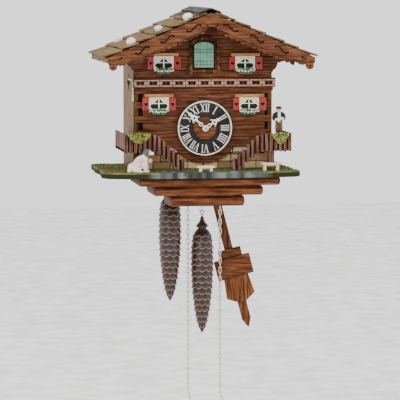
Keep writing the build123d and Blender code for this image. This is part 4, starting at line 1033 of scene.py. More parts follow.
def hand_mesh(angle, length, y, thick, eye, bore):
    """Pierced leaf-shaped hand with curled barbs, pointing clockwise from twelve."""
    turn = radians(angle)

    def world(points):
        return [(u * cos(turn) + v * sin(turn), DIAL_HEIGHT + v * cos(turn) - u * sin(turn))
                for u, v in points]

    def ring(v, radius, hole):
        return [world(circle(0.0, v, radius, 24)), world(circle(0.0, v, hole, 20))]

    meshes = [cutout_mesh(ring(0, eye, bore), y, thick, 0.12)]
    meshes.append(cutout_mesh(ring(length * 0.24, 2.1, 1.05), y, thick, 0.12))
    meshes.append(cutout_mesh([world([(-0.9, length * 0.33), (0.9, length * 0.33), (0.75, length * 0.48),
                                      (-0.75, length * 0.48)])], y + 0.01, thick, 0.1))
    leaf = [(-0.8, length * 0.44), (-2.2, length * 0.50), (-2.9, length * 0.58), (-2.0, length * 0.68),
            (-0.9, length * 0.76), (-0.55, length), (0.55, length), (0.9, length * 0.76),
            (2.0, length * 0.68), (2.9, length * 0.58), (2.2, length * 0.50), (0.8, length * 0.44)]
    meshes.append(cutout_mesh([world(leaf), world(circle(0, length * 0.58, 1.15, 18))], y, thick, 0.1))
    for side in (-1, 1):
        curl = []
        for k in range(9):
            a = radians(-60 + 30 * k)
            curl.append((side * (3.0 + 1.35 * cos(a)), length * 0.50 + 1.35 * sin(a)))
        inner = [(side * (3.0 + (abs(u) - 3.0) * 0.45), length * 0.50 + (v - length * 0.50) * 0.45)
                 for u, v in curl]
        meshes.append(cutout_mesh([world(curl + inner[::-1])], y + 0.02, thick, 0.05))
        meshes.append(cutout_mesh([world([(side * 0.6, length * 0.86), (side * 2.0, length * 0.80),
                                          (side * 1.7, length * 0.77), (side * 0.6, length * 0.80)])],
                                  y + 0.02, thick, 0.05))
    return joined(meshes)


def make_hands():
    hour_y = FACADE_Y - 8.6
    minute_y = FACADE_Y - 10.6
    hour = hand_mesh(HOUR_ANGLE, 19.2, hour_y, 0.8, 3.3, 1.6)
    place_mesh("hour_hand_leaf", hour, mat["numeral"], "hour_hand")
    minute = hand_mesh(MINUTE_ANGLE, 26.8, minute_y, 0.8, 3.0, 1.5)
    place_mesh("minute_hand_leaf", minute, mat["numeral"], "minute_hand", ["minute_hand"])
    pipe = Shape()
    nut = Shape()
    for shape, radius, bore, y0, y1 in ((pipe, 2.5, 1.56, hour_y + 0.8, FACADE_BACK - 2.0),
                                        (nut, 2.3, 0.02, minute_y - 1.5, minute_y)):
        start = y0 if shape is pipe else y1
        profile = [(bore, start), (radius, y0 + 0.3), (radius, y1), (bore, y1)]
        shape.spindle(profile, 0, DIAL_HEIGHT, 32)
    pipe.piece("hour_pipe", mat["brass"], "hour_hand", ["hour_hand"], smooth=True)
    nut.piece("hand_nut", mat["numeral"], "minute_hand", smooth=True)


# ---- roof -------------------------------------------------------------------------
def roof_matrix(side, inner, lift, tilt=0.0):
    """Frame on the roof: local x runs down the slope, z stands off it, from inner on that side."""
    angle = atan(ROOF_SLOPE) + tilt
    origin = at(side * inner, 0, roof_top(inner) + lift)
    down = Vector((side * cos(angle), 0, -sin(angle)))
    up = Vector((side * sin(angle), 0, cos(angle)))
    matrix = Matrix.Identity(4)
    for column, axis in enumerate((down, Vector((0, 1, 0)), up)):
        for row in range(3):
            matrix[row][column] = axis[row]
    return Matrix.Translation(origin) @ matrix


def lay_board(shape, place, run, y, end, gap, thick):
    """Board on the roof: run and thick in metres, y, end and gap in millimetres."""
    middle = Matrix.Translation((run / 2, (y + end) / 2 * MM, thick / 2))
    size = Matrix.Diagonal((run, (end - y - gap) * MM, thick, 1))
    bmesh.ops.create_cube(shape.mesh, size=1.0, matrix=place @ middle @ size)


def make_shingles(side, label):
    """Courses of separate split shingles, butts towards the eave."""
    edges = [4.0, 22.5, 39.0, 55.5, 72.0, 88.5, 106.5]
    shape = Shape()
    for course, (inner, outer) in enumerate(zip(edges, edges[1:])):
        run = (outer - inner) / cos(atan(ROOF_SLOPE))
        y = -126.8
        while y < -1.0:
            width = random.uniform(15.0, 24.0)
            end = min(y + width, -0.5)
            if -0.5 - end < 6:
                end = -0.5
            extra = random.uniform(-1.4, 1.8) if course < 5 else 0.4
            tilt = -0.088 + random.uniform(-0.012, 0.012)
            place = roof_matrix(side, inner, 0.45, tilt)
            lay_board(shape, place, (run + extra) * MM, y, end, 0.5, random.uniform(1.5, 1.9) * MM)
            y = end
    shape.piece(label, mat["shingle"], stands_for=[label], bevel=0.28)


def make_ridge():
    """Dark weathered boards along the ridge, laid in two lapped rows a side."""
    shape = Shape()
    for side in (-1, 1):
        for inner, run, lift in ((-0.6, 11.0, 3.4), (5.6, 13.0, 1.9)):
            y = -124.0
            while y < -1.0:
                end = min(y + random.uniform(13.0, 22.0), -0.5)
                if -0.5 - end < 8:
                    end = -0.5
                place = roof_matrix(side, max(inner, 0.0), lift, -0.04 + random.uniform(-0.02, 0.02))
                lay_board(shape, place, run * MM, y, end, 0.6, 1.6 * MM)
                y = end
    shape.piece("ridge_lapped_boards", mat["ridge"], stands_for=["ridge_boards"], bevel=0.3)


def scroll(x0, z0, x1, z1):
    """Points of a lazy S between two places."""
    points = []
    for k in range(15):
        share = k / 14
        bow = sin(share * 2 * pi) * 1.7
        points.append((x0 + (x1 - x0) * share, z0 + (z1 - z0) * share + bow))
    return points


def make_bargeboards():
    front = BARGE_FRONT
    drop = 13.5
    lobe = [(98.6 + 3.9 * cos(radians(a)), 105.6 + 3.9 * sin(radians(a))) for a in range(20, -190, -15)]
    right = [(0, ROOF_APEX), (104.0, roof_top(104)), (103.6, 109.0), (102.3, 106.9)] + lobe
    right += [(94.2, 106.6), (93.0, 107.0), (91.6, 105.9), (90.0, 106.9), (88.4, 106.4),
              (86.8, roof_top(86.8) - drop + 0.4)]
    right += [(60.0, roof_top(60) - drop), (30.0, roof_top(30) - drop), (8.0, roof_top(8) - drop),
              (0, roof_top(0) - drop)]
    outline = right + mirrored(right)[1:-1]
    plate = cutout_mesh([outline], front, 4.0, 0.5)
    place_mesh("bargeboard_pair", plate, mat["front"], stands_for=["bargeboards"])
    # painted shade: near-black tubes and dots stand in for the shadow in the carved scroll grooves
    marks = Shape()
    scrolls = [(12.0, 146.0, 25.0, 140.2), (38.7, 135.4, 50.8, 129.4), (63.5, 124.6, 76.0, 118.6)]
    for x0, z0, x1, z1 in scrolls:
        for side in (-1, 1):
            points = scroll(x0, z0, x1, z1)
            marks.tube([(side * x, front + 0.05, z) for x, z in points], 0.72, 6)
            for x, z in (points[0], points[-1]):
                marks.ball((side * x, front + 0.1, z), (1.25, 0.38, 1.25), segments=10)
    for side in (-1, 1):
        marks.ball((side * 90.5, front + 0.1, 114.2), (1.1, 0.35, 1.1), segments=10)
        marks.tube([(side * x, front + 0.05, z) for x, z in
                    ((90.5, 114.2), (92.0, 112.8), (94.6, 112.6))], 0.5, 6)
        marks.ball((side * 98.6, front + 0.1, 105.4), (0.9, 0.35, 0.9), segments=10)
    smile = [(-5.2, 145.6), (-3.4, 144.3), (0, 143.8), (3.4, 144.3), (5.2, 145.6)]
    marks.tube([(x, front + 0.05, z) for x, z in smile], 0.5, 6)
    for x in (-5.2, 5.2):
        marks.ball((x, front + 0.1, 145.6), (0.9, 0.35, 0.9), segments=10)
    marks.piece("bargeboard_scroll_groove_shade", mat["groove"], smooth=True)
    trim = []
    for side in (-1, 1):
        top = [(side * 2.0, roof_top(2) - ROOF_THICK), (side * 84.0, roof_top(84) - ROOF_THICK)]
        lower = []
        count = 14
        for k in range(count):
            x = 84.0 - (84.0 - 6.0) * (k + 0.5) / count
            for a in range(0, 181, 30):
                px = x + 2.55 * cos(radians(a))
                lower.append((side * px, roof_top(px) - 15.2 - 2.1 * sin(radians(a))))
        trim.append(cutout_mesh([top + lower], TRIM_FRONT, 2.0, 0.25))
    place_mesh("scallop_pair", joined(trim), mat["front"], stands_for=["scalloped_trim"])


def make_pebbles():
    shape = Shape()
    stones = [(-22.5, -119, 5.0, 1.06), (-49, -100, 4.3, 1.0), (-79, -118, 5.0, 1.0), (-80, -30, 4.6, 1.0),
              (43, -70, 4.2, 1.0), (80, -66, 4.4, 1.0), (52, -28, 4.2, 1.0)]
    for x, y, size, tall in stones:
        verts = shape.ball((x, y, roof_top(x) + 2.2 + size * 0.62), (size, size * 0.95, size * 0.80 * tall),
                           turn=(0, degrees(atan(ROOF_SLOPE)) * (1 if x > 0 else -1), 20), segments=20)
        centre = at(x, y, roof_top(x) + 2.2 + size * 0.62)
        for vert in verts:
            away = vert.co - centre
            vert.co += away * 0.16 * noise.noise(away * 260 + Vector((x, y, 0)))
    shape.piece("roof_pebbles", mat["pebble"], stands_for=["roof_stones"], smooth=True)


# ---- ground floor, balconies, garden ----------------------------------------------
STONE_TONES = [(0.42, 0.26, 0.14), (0.35, 0.21, 0.11), (0.55, 0.38, 0.22), (0.27, 0.17, 0.09),
               (0.48, 0.34, 0.19), (0.21, 0.135, 0.072)]


def make_stone_wall():
    rows = [(0.0, 7.2, [-66, -52, -34, -16.4, 0, 14, 28.2, 40, 54, 66]),
            (7.2, 16.5, [-66, -44, -28, -16.4, 14, 28.2, 48, 66]),
            (16.5, 23.6, [-66, -48, -30, -12, 12, 30, 48, 66])]
    back = Shape()
    back.box((-66, -77.0, 0), (66, -71, 23.2))
    back.piece("wall_mortar", mat["groove"], stands_for=["stone_wall"])
    shape = Shape()
    for row, (low, high, joints) in enumerate(rows):
        for a, b in zip(joints, joints[1:]):
            tone = random.choice(STONE_TONES)
            if row == 2:
                tone = lerp3(tone, (0.66, 0.54, 0.40), 0.7)
            proud = -79.4 - random.uniform(0.0, 0.7)
            verts = shape.box((a + 0.35, proud, low + 0.3), (b - 0.35, -76.5, high - 0.3), tone)
            for vert in verts:
                vert.co.x += random.uniform(-0.3, 0.3) * MM
                vert.co.z += random.uniform(-0.2, 0.2) * MM
    shape.piece("wall_stones", mat["stone"], bevel=0.55)


def make_balcony(side, label):
    """Picket rail on a backing board, stair rail, floor, side boards and post."""
    outer = 84.5
    flat_end = 52.0
    stair_end = 23.0
    slope = 0.93
    pitch = 4.75
    wide = 3.1
    back = Shape()
    pickets = Shape()
    tops = []
    count = int((outer - stair_end) / pitch)
    for index in range(count + 1):
        x = outer - wide / 2 - index * pitch
        sink = max(0.0, (flat_end - x) * slope)
        top = 37.0 - sink + random.uniform(-0.35, 0.35)
        low = max(0.3, 18.6 - sink + random.uniform(-0.5, 0.2))
        tops.append((x, top, low))
        points = []
        for a, b in ((-wide / 2, low + 0.7), (-wide / 4, low + 0.15), (wide / 4, low + 0.15),
                     (wide / 2, low + 0.7), (wide / 2, top), (-wide / 2, top)):
            points.append((side * (x + a), b))
        pickets.prism(points, RAIL_Y + random.uniform(-0.05, 0.15), RAIL_Y + 1.4)
    for (x0, top0, low0), (x1, top1, low1) in zip(tops, tops[1:]):
        back.box((side * x0, RAIL_Y + 1.3, max(low0, low1) + 0.8),
                 (side * x1, RAIL_Y + 2.7, min(top0, top1) - 0.9))
    back.box((side * flat_end, FACADE_Y, 19.5), (side * outer, RAIL_Y + 2.6, 21.8))
    back.box((side * 71.2, -36.5, 19.5), (side * outer, FACADE_Y, 21.8))
    back.piece(f"{label}_backing", mat["groove"], bevel=0.2)
    pickets.piece(f"{label}_pickets", mat["rail"], stands_for=[label], bevel=0.32)
    boards = Shape()
    y = -108.6
    while y < -37:
        end = min(y + 9.0, -36.2)
        boards.box((side * (outer - 1.9), y, 19.0), (side * outer, end - 0.35, 36.9))
        y = end
    boards.box((side * (outer - 2.2), -108.6, 36.2), (side * (outer + 0.1), -36.2, 37.2))
    boards.piece(f"{label}_side_boards", mat["rail"], bevel=0.3)
    post = Shape()
    post.box((side * 61.6, RAIL_Y + 3.0, 0.2), (side * 67.6, RAIL_Y + 7.8, 19.4))
    post.piece(f"{label}_post", mat["rail"], bevel=0.7)


def make_moss():
    """Tufts of moss that hang over the rails, made of many small leaves."""
    tones = [(0.17, 0.19, 0.035), (0.29, 0.31, 0.075), (0.42, 0.43, 0.15), (0.075, 0.095, 0.018)]
    shape = Shape()
    for side, low, high, half, middle in ((-1, 28.3, 38.6, 11.0, 70.2), (1, 26.6, 37.6, 8.3, 72.8)):
        for _ in range(520):
            a = random.uniform(-1, 1)
            depth = random.uniform(0, 1)
            height = high - (high - low) * depth * (1 - 0.75 * a * a)
            y = RAIL_Y - 1.6 - random.uniform(0, 1.4) * (1 - depth * 0.5)
            if depth < 0.22:
                y = RAIL_Y + random.uniform(-2.2, 4.5)
                height = high - random.uniform(0, 1.4) - 1.2 * a * a
            size = random.uniform(0.35, 0.75)
            shape.ball((side * middle + a * half, y, height), (size * 0.6, size * 0.6, size * 1.9),
                       random.choice(tones), turn=(random.uniform(-60, 60), random.uniform(-60, 60), 0),
                       segments=5)
    shape.piece("moss_tufts", mat["moss"], stands_for=["moss"], smooth=True)


GRASS_TONES = [(0.070, 0.078, 0.016), (0.115, 0.120, 0.028), (0.20, 0.195, 0.065), (0.035, 0.042, 0.010)]
OUTLINE = [(-105, 0), (-105.5, -22), (-107, -46), (-105, -70), (-106.5, -92), (-108, -108),
           (-104, -119), (-94, -123), (-80, -126.5), (-62, -125.5), (-44, -128.5), (-26, -127),
           (-8, -129), (10, -127.5), (28, -129), (46, -127), (62, -128), (76, -125),
           (86, -124), (92, -117), (92.5, -108), (89.5, -92), (91, -70), (88.5, -46),
           (90, -22), (88.5, 0)]


def inside_outline(x, y, inset=1.0):
    """True where a point lies on the board, inset from its edge."""
    hit = False
    for (x0, y0), (x1, y1) in zip(OUTLINE, OUTLINE[1:] + OUTLINE[:1]):
        if (y0 > y) != (y1 > y) and x < x0 + (y - y0) * (x1 - x0) / (y1 - y0):
            hit = not hit
    return hit and y > -126.5 + inset and abs(x + 7.5) < 98.5 - inset


def ground_tone(x, y, edge):
    """Grass on top, rock and water colours along the middle of the front edge, and a darker green on the
    board's sides that is painted shade.
    """
    speckle = noise.noise(Vector((x * 0.16, y * 0.16, 3.0)))
    grass = lerp3(GRASS_TONES[0], GRASS_TONES[2], max(0.0, min(1.0, 0.45 + speckle)))
    rock = lerp3((0.028, 0.034, 0.036), (0.155, 0.170, 0.165), max(0.0, min(1.0, 0.4 + 1.3 * speckle)))
    middle = max(0.0, 1 - max(0.0, abs(x + 2) - 48) / 16)
    front = max(0.0, min(1.0, (-y - 116) / 8))
    share = middle * front if not edge else middle
    # the darker green given to the sides of the board is painted shade
    return lerp3(grass if not edge else (0.020, 0.025, 0.009), rock, share)


def make_garden():
    """Uneven garden board with a rolled edge, holes for the chains and pendulum, and grass."""
    chain_holes = []
    for centre in CHAIN_CENTRES.values():
        for x in (centre - SPROCKET_R, centre + SPROCKET_R):
            chain_holes.append(circle(x, CHAIN_Y, 4.0, 20))
    slot = []
    for way in (-1, 1):
        for a in range(0, 181, 20):
            slot.append((way * SLOT_HALF + way * SLOT_R * sin(radians(a)),
                         PENDULUM_Y - way * SLOT_R * cos(radians(a))))
    fine = []
    for (x0, y0), (x1, y1) in zip(OUTLINE, OUTLINE[1:]):
        for k in range(6):
            share = k / 6
            ripple = 0.55 * sin((x0 + (x1 - x0) * share) * 0.9) * (1 if y0 < -100 else 0.3)
            fine.append((x0 + (x1 - x0) * share, y0 + (y1 - y0) * share + ripple))
    fine.append(OUTLINE[-1])
    loops = [[(x * MM, y * MM) for x, y in loop] for loop in [fine, slot] + chain_holes]
    data = flat_mesh("garden", loops, 1.6, 1.4, 3)
    data.transform(Matrix.Translation(at(0, 0, -3.0)))
    board = bmesh.new()
    board.from_mesh(data)
    bmesh.ops.subdivide_edges(board, edges=[e for e in board.edges if e.calc_length() > 0.008], cuts=2,
                              use_grid_fill=True)
    layer = board.verts.layers.float_color.new("paint")
    for vert in board.verts:
        x, y = vert.co.x / MM, vert.co.y / MM
        height = vert.co.z / MM - BASE_TOP
        # points below the top take the side colours, whose darker green is painted shade
        tone = ground_tone(x, y, height < -1.0)
        vert[layer] = (*tone, 1.0)
    board.to_mesh(data)
    board.free()
    place_mesh("garden_board", data, mat["ground"], stands_for=["base_board"], smooth=False)
    grass = Shape()
    planted = 0
    while planted < 5200:
        x = random.uniform(-107, 92)
        y = random.uniform(-127, -2)
        on_house = abs(x) < 71.5 and y > -82
        if not inside_outline(x, y, 0.6) or on_house:
            continue
        planted += 1
        lean = Vector((random.uniform(-0.6, 0.6), random.uniform(-0.6, 0.6), 0))
        tall = random.uniform(0.7, 1.9)
        spin = random.uniform(0, pi)
        wide = Vector((cos(spin), sin(spin), 0)) * 0.28 * MM
        foot = at(x, y, -0.3)
        tip = foot + (lean + Vector((0, 0, tall))) * MM
        verts = [grass.mesh.verts.new(corner) for corner in (foot - wide, foot + wide, tip)]
        grass.mesh.faces.new(verts)
        tone = random.choice(GRASS_TONES)
        if y < -117 and abs(x + 2) < 52:
            tone = lerp3(tone, (0.095, 0.110, 0.100), 0.6)
        grass.colour(verts, tone)
    grass.piece("garden_grass", mat["moss"])
    rocks = Shape()
    for _ in range(46):
        x = random.uniform(-58, 56)
        size = random.uniform(1.6, 4.2)
        tone = lerp3((0.030, 0.036, 0.038), (0.185, 0.205, 0.205), random.random() ** 1.5)
        verts = rocks.ball((x, random.uniform(-126.8, -124.5), random.uniform(-3.6, -0.6)),
                           (size, 1.3, size * 0.42), tone, turn=(0, random.uniform(-12, 12), 0), segments=10)
        for vert in verts:
            vert.co += Vector((0, 0, 0.5 * MM * noise.noise(vert.co * 500)))
    rocks.piece("front_edge_rocks", mat["ground"], smooth=True)


def make_foot_logs():
    """Three stacked logs with chamfered ends, and a spacer board between each two."""
    # half length, front, back, top, underside
    logs = [(71.6, -120.5, -50.0, -6.0, -14.2), (55.7, -112.0, -60.0, -15.2, -24.6),
            (38.3, -103.0, -60.0, -25.8, -36.2)]
    cut = 2.4
    shape = Shape()
    ends = Shape()
    for half, front, back, top, low in logs:
        section = [(front + cut, top), (front, top - cut), (front, low + cut), (front + cut, low),
                   (back - cut, low), (back, low + cut), (back, top - cut), (back - cut, top)]
        rings = []
        for x in (-half + 2.6, half - 2.6):
            rings.append([shape.mesh.verts.new(at(x, y, z)) for y, z in section])
        shape.join_rings(rings, 8)
        centre_z = (top + low) / 2
        for side in (-1, 1):
            end_rings = []
            for x, inset in ((half - 2.6, 0.0), (half - 0.9, 0.55), (half, 1.9)):
                ring = []
                for y, z in section:
                    dy = inset if y < (front + back) / 2 else -inset
                    dz = inset if z < centre_z else -inset
                    ring.append(ends.mesh.verts.new(at(side * x, y + dy, z + dz)))
                end_rings.append(ring)
            ends.join_rings(end_rings, 8)
            ends.mesh.faces.new(end_rings[-1])
    shape.box((-42, -110.5, -15.4), (42, -62, -14.0))
    shape.box((-27, -101.5, -26.0), (27, -62, -24.4))
    shape.piece("foot_log_boards", mat["foot"], stands_for=["foot_logs"], bevel=0.5)
    # the chamfered ends use greyer, lighter wood: end grain plus a painted sheen
    ends.piece("foot_log_ends", mat["log_end"])


def make_benches():
    shape = Shape()
    for x, y, top, half, deep in ((61.7, -118.5, 8.2, 9.9, 3.6), (-4.8, -121.0, 6.2, 8.8, 2.8)):
        shape.box((x - half, y - deep, top - 1.9), (x + half, y + deep, top))
        for side in (-1, 1):
            leg = x + side * (half - 3.4)
            shape.box((leg - 1.4, y - deep + 0.4, 0), (leg + 1.4, y + deep - 0.4, top - 1.8))
        shape.box((x - half + 3.6, y - 0.6, top - 3.4), (x + half - 3.6, y + 0.6, top - 1.8))
    shape.piece("garden_benches", mat["bench"], stands_for=["benches"], bevel=0.4)


# ---- figures ----------------------------------------------------------------------
def fused(shape, name, voxel, body, stands_for, tint):
    """Fuse overlapping bodies into one carved skin, then colour its points."""
    bmesh.ops.recalc_face_normals(shape.mesh, faces=shape.mesh.faces)
    data = bpy.data.meshes.new(name)
    shape.mesh.to_mesh(data)
    shape.mesh.free()
    obj = bpy.data.objects.new(name, data)
    bpy.context.scene.collection.objects.link(obj)
    remesh = obj.modifiers.new("fuse", "REMESH")
    remesh.mode = "VOXEL"
    remesh.voxel_size = voxel * MM
    soften = obj.modifiers.new("soften", "SMOOTH")
    soften.factor = 0.5
    soften.iterations = 3
    depsgraph = bpy.context.evaluated_depsgraph_get()
    baked = bpy.data.meshes.new_from_object(obj.evaluated_get(depsgraph))
    bpy.data.objects.remove(obj)
    for old in list(baked.attributes):
        if old.name == "paint":
            baked.attributes.remove(old)
    layer = baked.attributes.new("paint", "FLOAT_COLOR", "POINT")
    for vert, value in zip(baked.vertices, layer.data):
        place = vert.co / MM
        value.color = (*tint(Vector((place.x, place.y, place.z - BASE_TOP))), 1.0)
    return place_mesh(name, baked, mat["figure"], body, stands_for, smooth=True)


def make_dog():
    """Sitting Saint Bernard that looks to the right, with a small keg at its neck."""
    y = -117.5
    shape = Shape()
    shape.ball((-76.0, y, 5.0), (6.8, 4.8, 5.2))                      # haunches
    shape.ball((-70.5, y, 9.5), (6.2, 4.2, 8.2), turn=(0, 32, 0))     # back
    shape.ball((-66.5, y, 11.5), (4.4, 3.8, 7.4), turn=(0, 8, 0))     # chest
    shape.ball((-74.5, y - 3.4, 3.4), (4.4, 2.2, 3.6))                # near thigh
    shape.ball((-70.5, y - 4.0, 1.1), (3.6, 1.5, 1.2))                # hind paw
    for dx, dy in ((0, -2.4), (2.4, 1.8)):
        shape.ball((-65.6 + dx, y + dy, 6.0), (1.7, 1.6, 6.2))        # foreleg
        shape.ball((-64.6 + dx, y + dy, 1.0), (2.4, 1.6, 1.2))        # forepaw
    shape.ball((-65.0, y, 17.4), (3.4, 3.0, 3.6))                     # neck
    shape.ball((-63.4, y, 20.2), (4.3, 3.6, 3.5))                     # head
    shape.ball((-58.9, y, 18.9), (3.3, 2.2, 1.9), turn=(0, 8, 0))     # muzzle
    for dy in (-3.2, 3.2):
        shape.ball((-64.6, y + dy, 19.6), (1.6, 0.8, 2.5), turn=(0, 18, 0))
    shape.ball((-80.6, y - 1.6, 1.4), (2.6, 1.2, 1.2), turn=(0, -28, 0))
    shape.ball((-82.2, y - 1.8, 2.6), (1.2, 0.9, 1.6))                # tail tip

    def tint(p):
        cream = (0.80, 0.74, 0.64)
        grey = (0.085, 0.085, 0.090)
        tan = (0.62, 0.42, 0.26)
        patch = noise.noise(Vector((p.x * 0.22, p.y * 0.3, p.z * 0.22)))
        if (p.x + 58.0) ** 2 * 0.25 + (p.z - 18.9) ** 2 < 1.0 and p.x > -57.0:
            return (0.03, 0.025, 0.025)
        if p.z > 15.5 and p.x < -61.5 + 0.2 * (p.z - 20) and p.z > 17.2 - 0.5 * (p.x + 66):
            return grey
        if abs(p.y - y) > 2.7 and p.z > 17.0 and p.x < -62.6:
            return grey
        if p.x < -66.0 and p.z > 5.0 and patch > -0.05 and p.z > 3 - 0.6 * (p.x + 70):
            return lerp3(cream, tan, min(1.0, 0.55 + patch))
        return cream

    fused(shape, "dog_carving", 0.42, "case", ["dog_figure"], tint)
    keg = Shape()
    staves = [(0.02, -3.0), (1.9, -3.0), (2.35, -1.6), (2.5, 0), (2.35, 1.6), (1.9, 3.0), (0.02, 3.0)]
    for ring in keg.spindle([(radius, y - 1.2 + along) for radius, along in staves], -60.6, 11.8, 24):
        keg.colour(ring, (0.50, 0.32, 0.19))
    for along in (-2.1, 2.1):
        keg.tube([(-60.6 + 2.4 * cos(a), y - 1.2 + along, 11.8 + 2.4 * sin(a))
                  for a in ring_angles(24)], 0.3, 6, (0.24, 0.13, 0.07), closed=True)
    strap = [(-60.9, y - 1.2, 14.0), (-61.8, y - 3.4, 15.4), (-64.6, y - 3.6, 16.2)]
    keg.tube(strap, 0.45, 6, (0.20, 0.09, 0.05))
    keg.piece("dog_keg", mat["figure"], smooth=True)
    face = Shape()
    for dy in (-1.9, 1.9):
        face.ball((-60.7, y + dy * 1.25, 20.9), (0.42, 0.42, 0.42), (0.02, 0.015, 0.012), segments=8)
    face.ball((-55.8, y, 19.5), (0.75, 0.85, 0.6), (0.025, 0.020, 0.020), segments=10)
    face.piece("dog_eyes_and_nose", mat["figure"], smooth=True)


def make_man():
    """Standing villager with folded arms, dark sleeves and a round dark hat."""
    x, y = 73.8, -98.0
    plinth = Shape()
    plinth.box((x - 6.2, y - 5.4, 21.8), (x + 6.2, y + 5.4, 33.4), (0.16, 0.09, 0.05))
    plinth.piece("man_stand", mat["front_z"], bevel=1.2)
    shape = Shape()
    for side in (-1, 1):
        shape.ball((x + side * 1.9, y, 42.0), (1.95, 2.1, 6.9))                   # leg
        shape.ball((x + side * 2.0, y - 1.0, 34.9), (1.9, 2.8, 1.3))              # shoe
    shape.ball((x, y, 47.2), (3.9, 2.9, 2.6))                                      # hips
    shape.ball((x, y, 52.2), (4.3, 3.0, 5.4))                                      # trunk
    shape.ball((x, y, 56.0), (5.0, 2.8, 2.4))                                      # shoulders
    for side in (-1, 1):
        shape.ball((x + side * 5.2, y - 0.4, 53.2), (1.7, 1.8, 3.9), turn=(0, -side * 10, 0))
        shape.ball((x + side * 2.6, y - 3.2, 50.8 + 0.5 * side), (3.9, 1.4, 1.45),
                   turn=(0, side * 8, side * 16))
    shape.ball((x, y, 58.2), (1.5, 1.4, 1.6))                                      # neck
    shape.ball((x, y - 0.2, 60.4), (2.5, 2.6, 2.95))                               # head
    shape.ball((x, y - 2.75, 60.0), (0.5, 0.65, 0.75))                             # nose

    def tint(p):
        if p.z < 36.0:
            return (0.035, 0.022, 0.016)
        if p.z < 47.6:
            return (0.125, 0.066, 0.034)
        if p.z > 57.9:
            hair = p.y > y + 0.5 or p.z > 62.0 or abs(p.x - x) > 2.15
            return (0.014, 0.010, 0.008) if hair else (0.70, 0.47, 0.36)
        if p.y < y - 2.9 and abs(p.x - x) < 4.6 and 49.0 < p.z < 53.0:
            return (0.82, 0.76, 0.68)
        if abs(p.x - x) < 1.3 and p.y < y - 1.0:
            return (0.82, 0.79, 0.74)
        return (0.016, 0.012, 0.012)

    fused(shape, "man_carving", 0.34, "case", ["man_figure"], tint)
    trim = Shape()
    trim.lathe([(0, 63.6), (1.9, 63.5), (2.5, 63.0), (2.75, 62.2), (2.8, 61.9), (3.9, 61.5), (3.9, 61.2),
                (0, 61.3)], x, y, 28, (0.020, 0.014, 0.012))
    for side in (-1, 1):
        trim.ball((x + side * 0.95, y - 2.55, 60.75), (0.26, 0.16, 0.20), (0.04, 0.025, 0.02), segments=8)
    trim.tube([(x - 0.8, y - 2.62, 58.95), (x, y - 2.74, 58.85), (x + 0.8, y - 2.62, 58.95)], 0.14, 5,
              (0.38, 0.13, 0.10))
    trim.piece("man_hat_and_face", mat["figure"], smooth=True)


# ---- pendulum ---------------------------------------------------------------------
def swung():
    """Turn from plumb to the resting side, about the pendulum's pivot."""
    pivot = at(0, PENDULUM_Y, PIVOT_HEIGHT)
    turn = Matrix.Rotation(radians(-PENDULUM_TILT), 4, "Y")
    return Matrix.Translation(pivot) @ turn @ Matrix.Translation(-pivot)


def make_pendulum():
    def down(v, u):
        return (v, PIVOT_HEIGHT - u)

    front = PENDULUM_Y - 1.3
    rod = Shape()
    rod.prism([down(-4.35, 10), down(4.35, 10), down(4.65, 222), down(0.4, 231), down(-0.4, 231),
               down(-4.65, 222)], front, front + 2.6)
    rod.tube([(0, PENDULUM_Y, PIVOT_HEIGHT - 3.2), (0, PENDULUM_Y, PIVOT_HEIGHT - 11)], 0.6)
    rod.tube([(1.9 * sin(a), PENDULUM_Y, PIVOT_HEIGHT + 1.9 * cos(a))
              for a in ring_angles(24)], 0.55, closed=True)
    rod.piece("pendulum_rod_board", mat["pendulum_rod"], "pendulum", ["pendulum_rod"], bevel=0.4,
              turn=swung())
    plate = front - 0.3
    dark = Shape()
    dark.prism([down(-12.1, 145.6), down(12.0, 145.6), down(12.0, 154.6), down(-12.1, 154.6)],
               plate - 2.6, plate)
    dark.piece("pendulum_bob_top", mat["pendulum_wood"], "pendulum_bob", bevel=0.45, turn=swung())
    wide = Shape()
    wide.prism([down(-19.0, 154.8), down(19.0, 154.8), down(19.0, 175.6), down(-19.0, 175.6)],
               plate - 5.0, plate)
    wide.box((-8.0, PENDULUM_Y + 2.4, PIVOT_HEIGHT - 171), (8.0, PENDULUM_Y + 3.2, PIVOT_HEIGHT - 159))
    for side in (-1, 1):
        wide.box((side * 4.9, plate - 0.2, PIVOT_HEIGHT - 171),
                 (side * 8.0, PENDULUM_Y + 2.5, PIVOT_HEIGHT - 159))
    wide.piece("pendulum_bob_block", mat["pendulum_wood"], "pendulum_bob", ["pendulum_bob"], bevel=0.55,
               turn=swung())
    lower = Shape()
    lower.prism([down(-13.0, 175.8), down(12.8, 175.8), down(15.1, 196.3), down(4.4, 202.7),
                 down(-4.4, 202.7), down(-15.1, 196.3)], plate - 3.4, plate)
    lower.piece("pendulum_bob_shield", mat["pendulum_burl"], "pendulum_bob", bevel=0.45, turn=swung())


# ---- kept CAD nodes ---------------------------------------------------------------
KEPT = {
    "side_wall_left": "side", "side_wall_right": "side", "back_panel": "side", "roof_boards": "roof_board",
    "hanger_plate": "brass", "brass_fixings": "brass", "movement_plates": "brass",
    "movement_pillars": "brass", "bellows": "leather", "gong": "steel", "center_wheel": "brass",
    "time_great_wheel": "brass", "third_wheel": "brass", "escape_wheel": "brass",
    "time_chain_wheel": "brass", "call_chain_wheel": "brass", "anchor": "steel",
    "left_bellows_lid": "side", "right_bellows_lid": "side", "gong_hammer": "steel",
}


def finish_kept_nodes():
    for name, material in KEPT.items():
        data = frame["nodes"][name].data
        data.materials.clear()
        data.materials.append(mat[material])


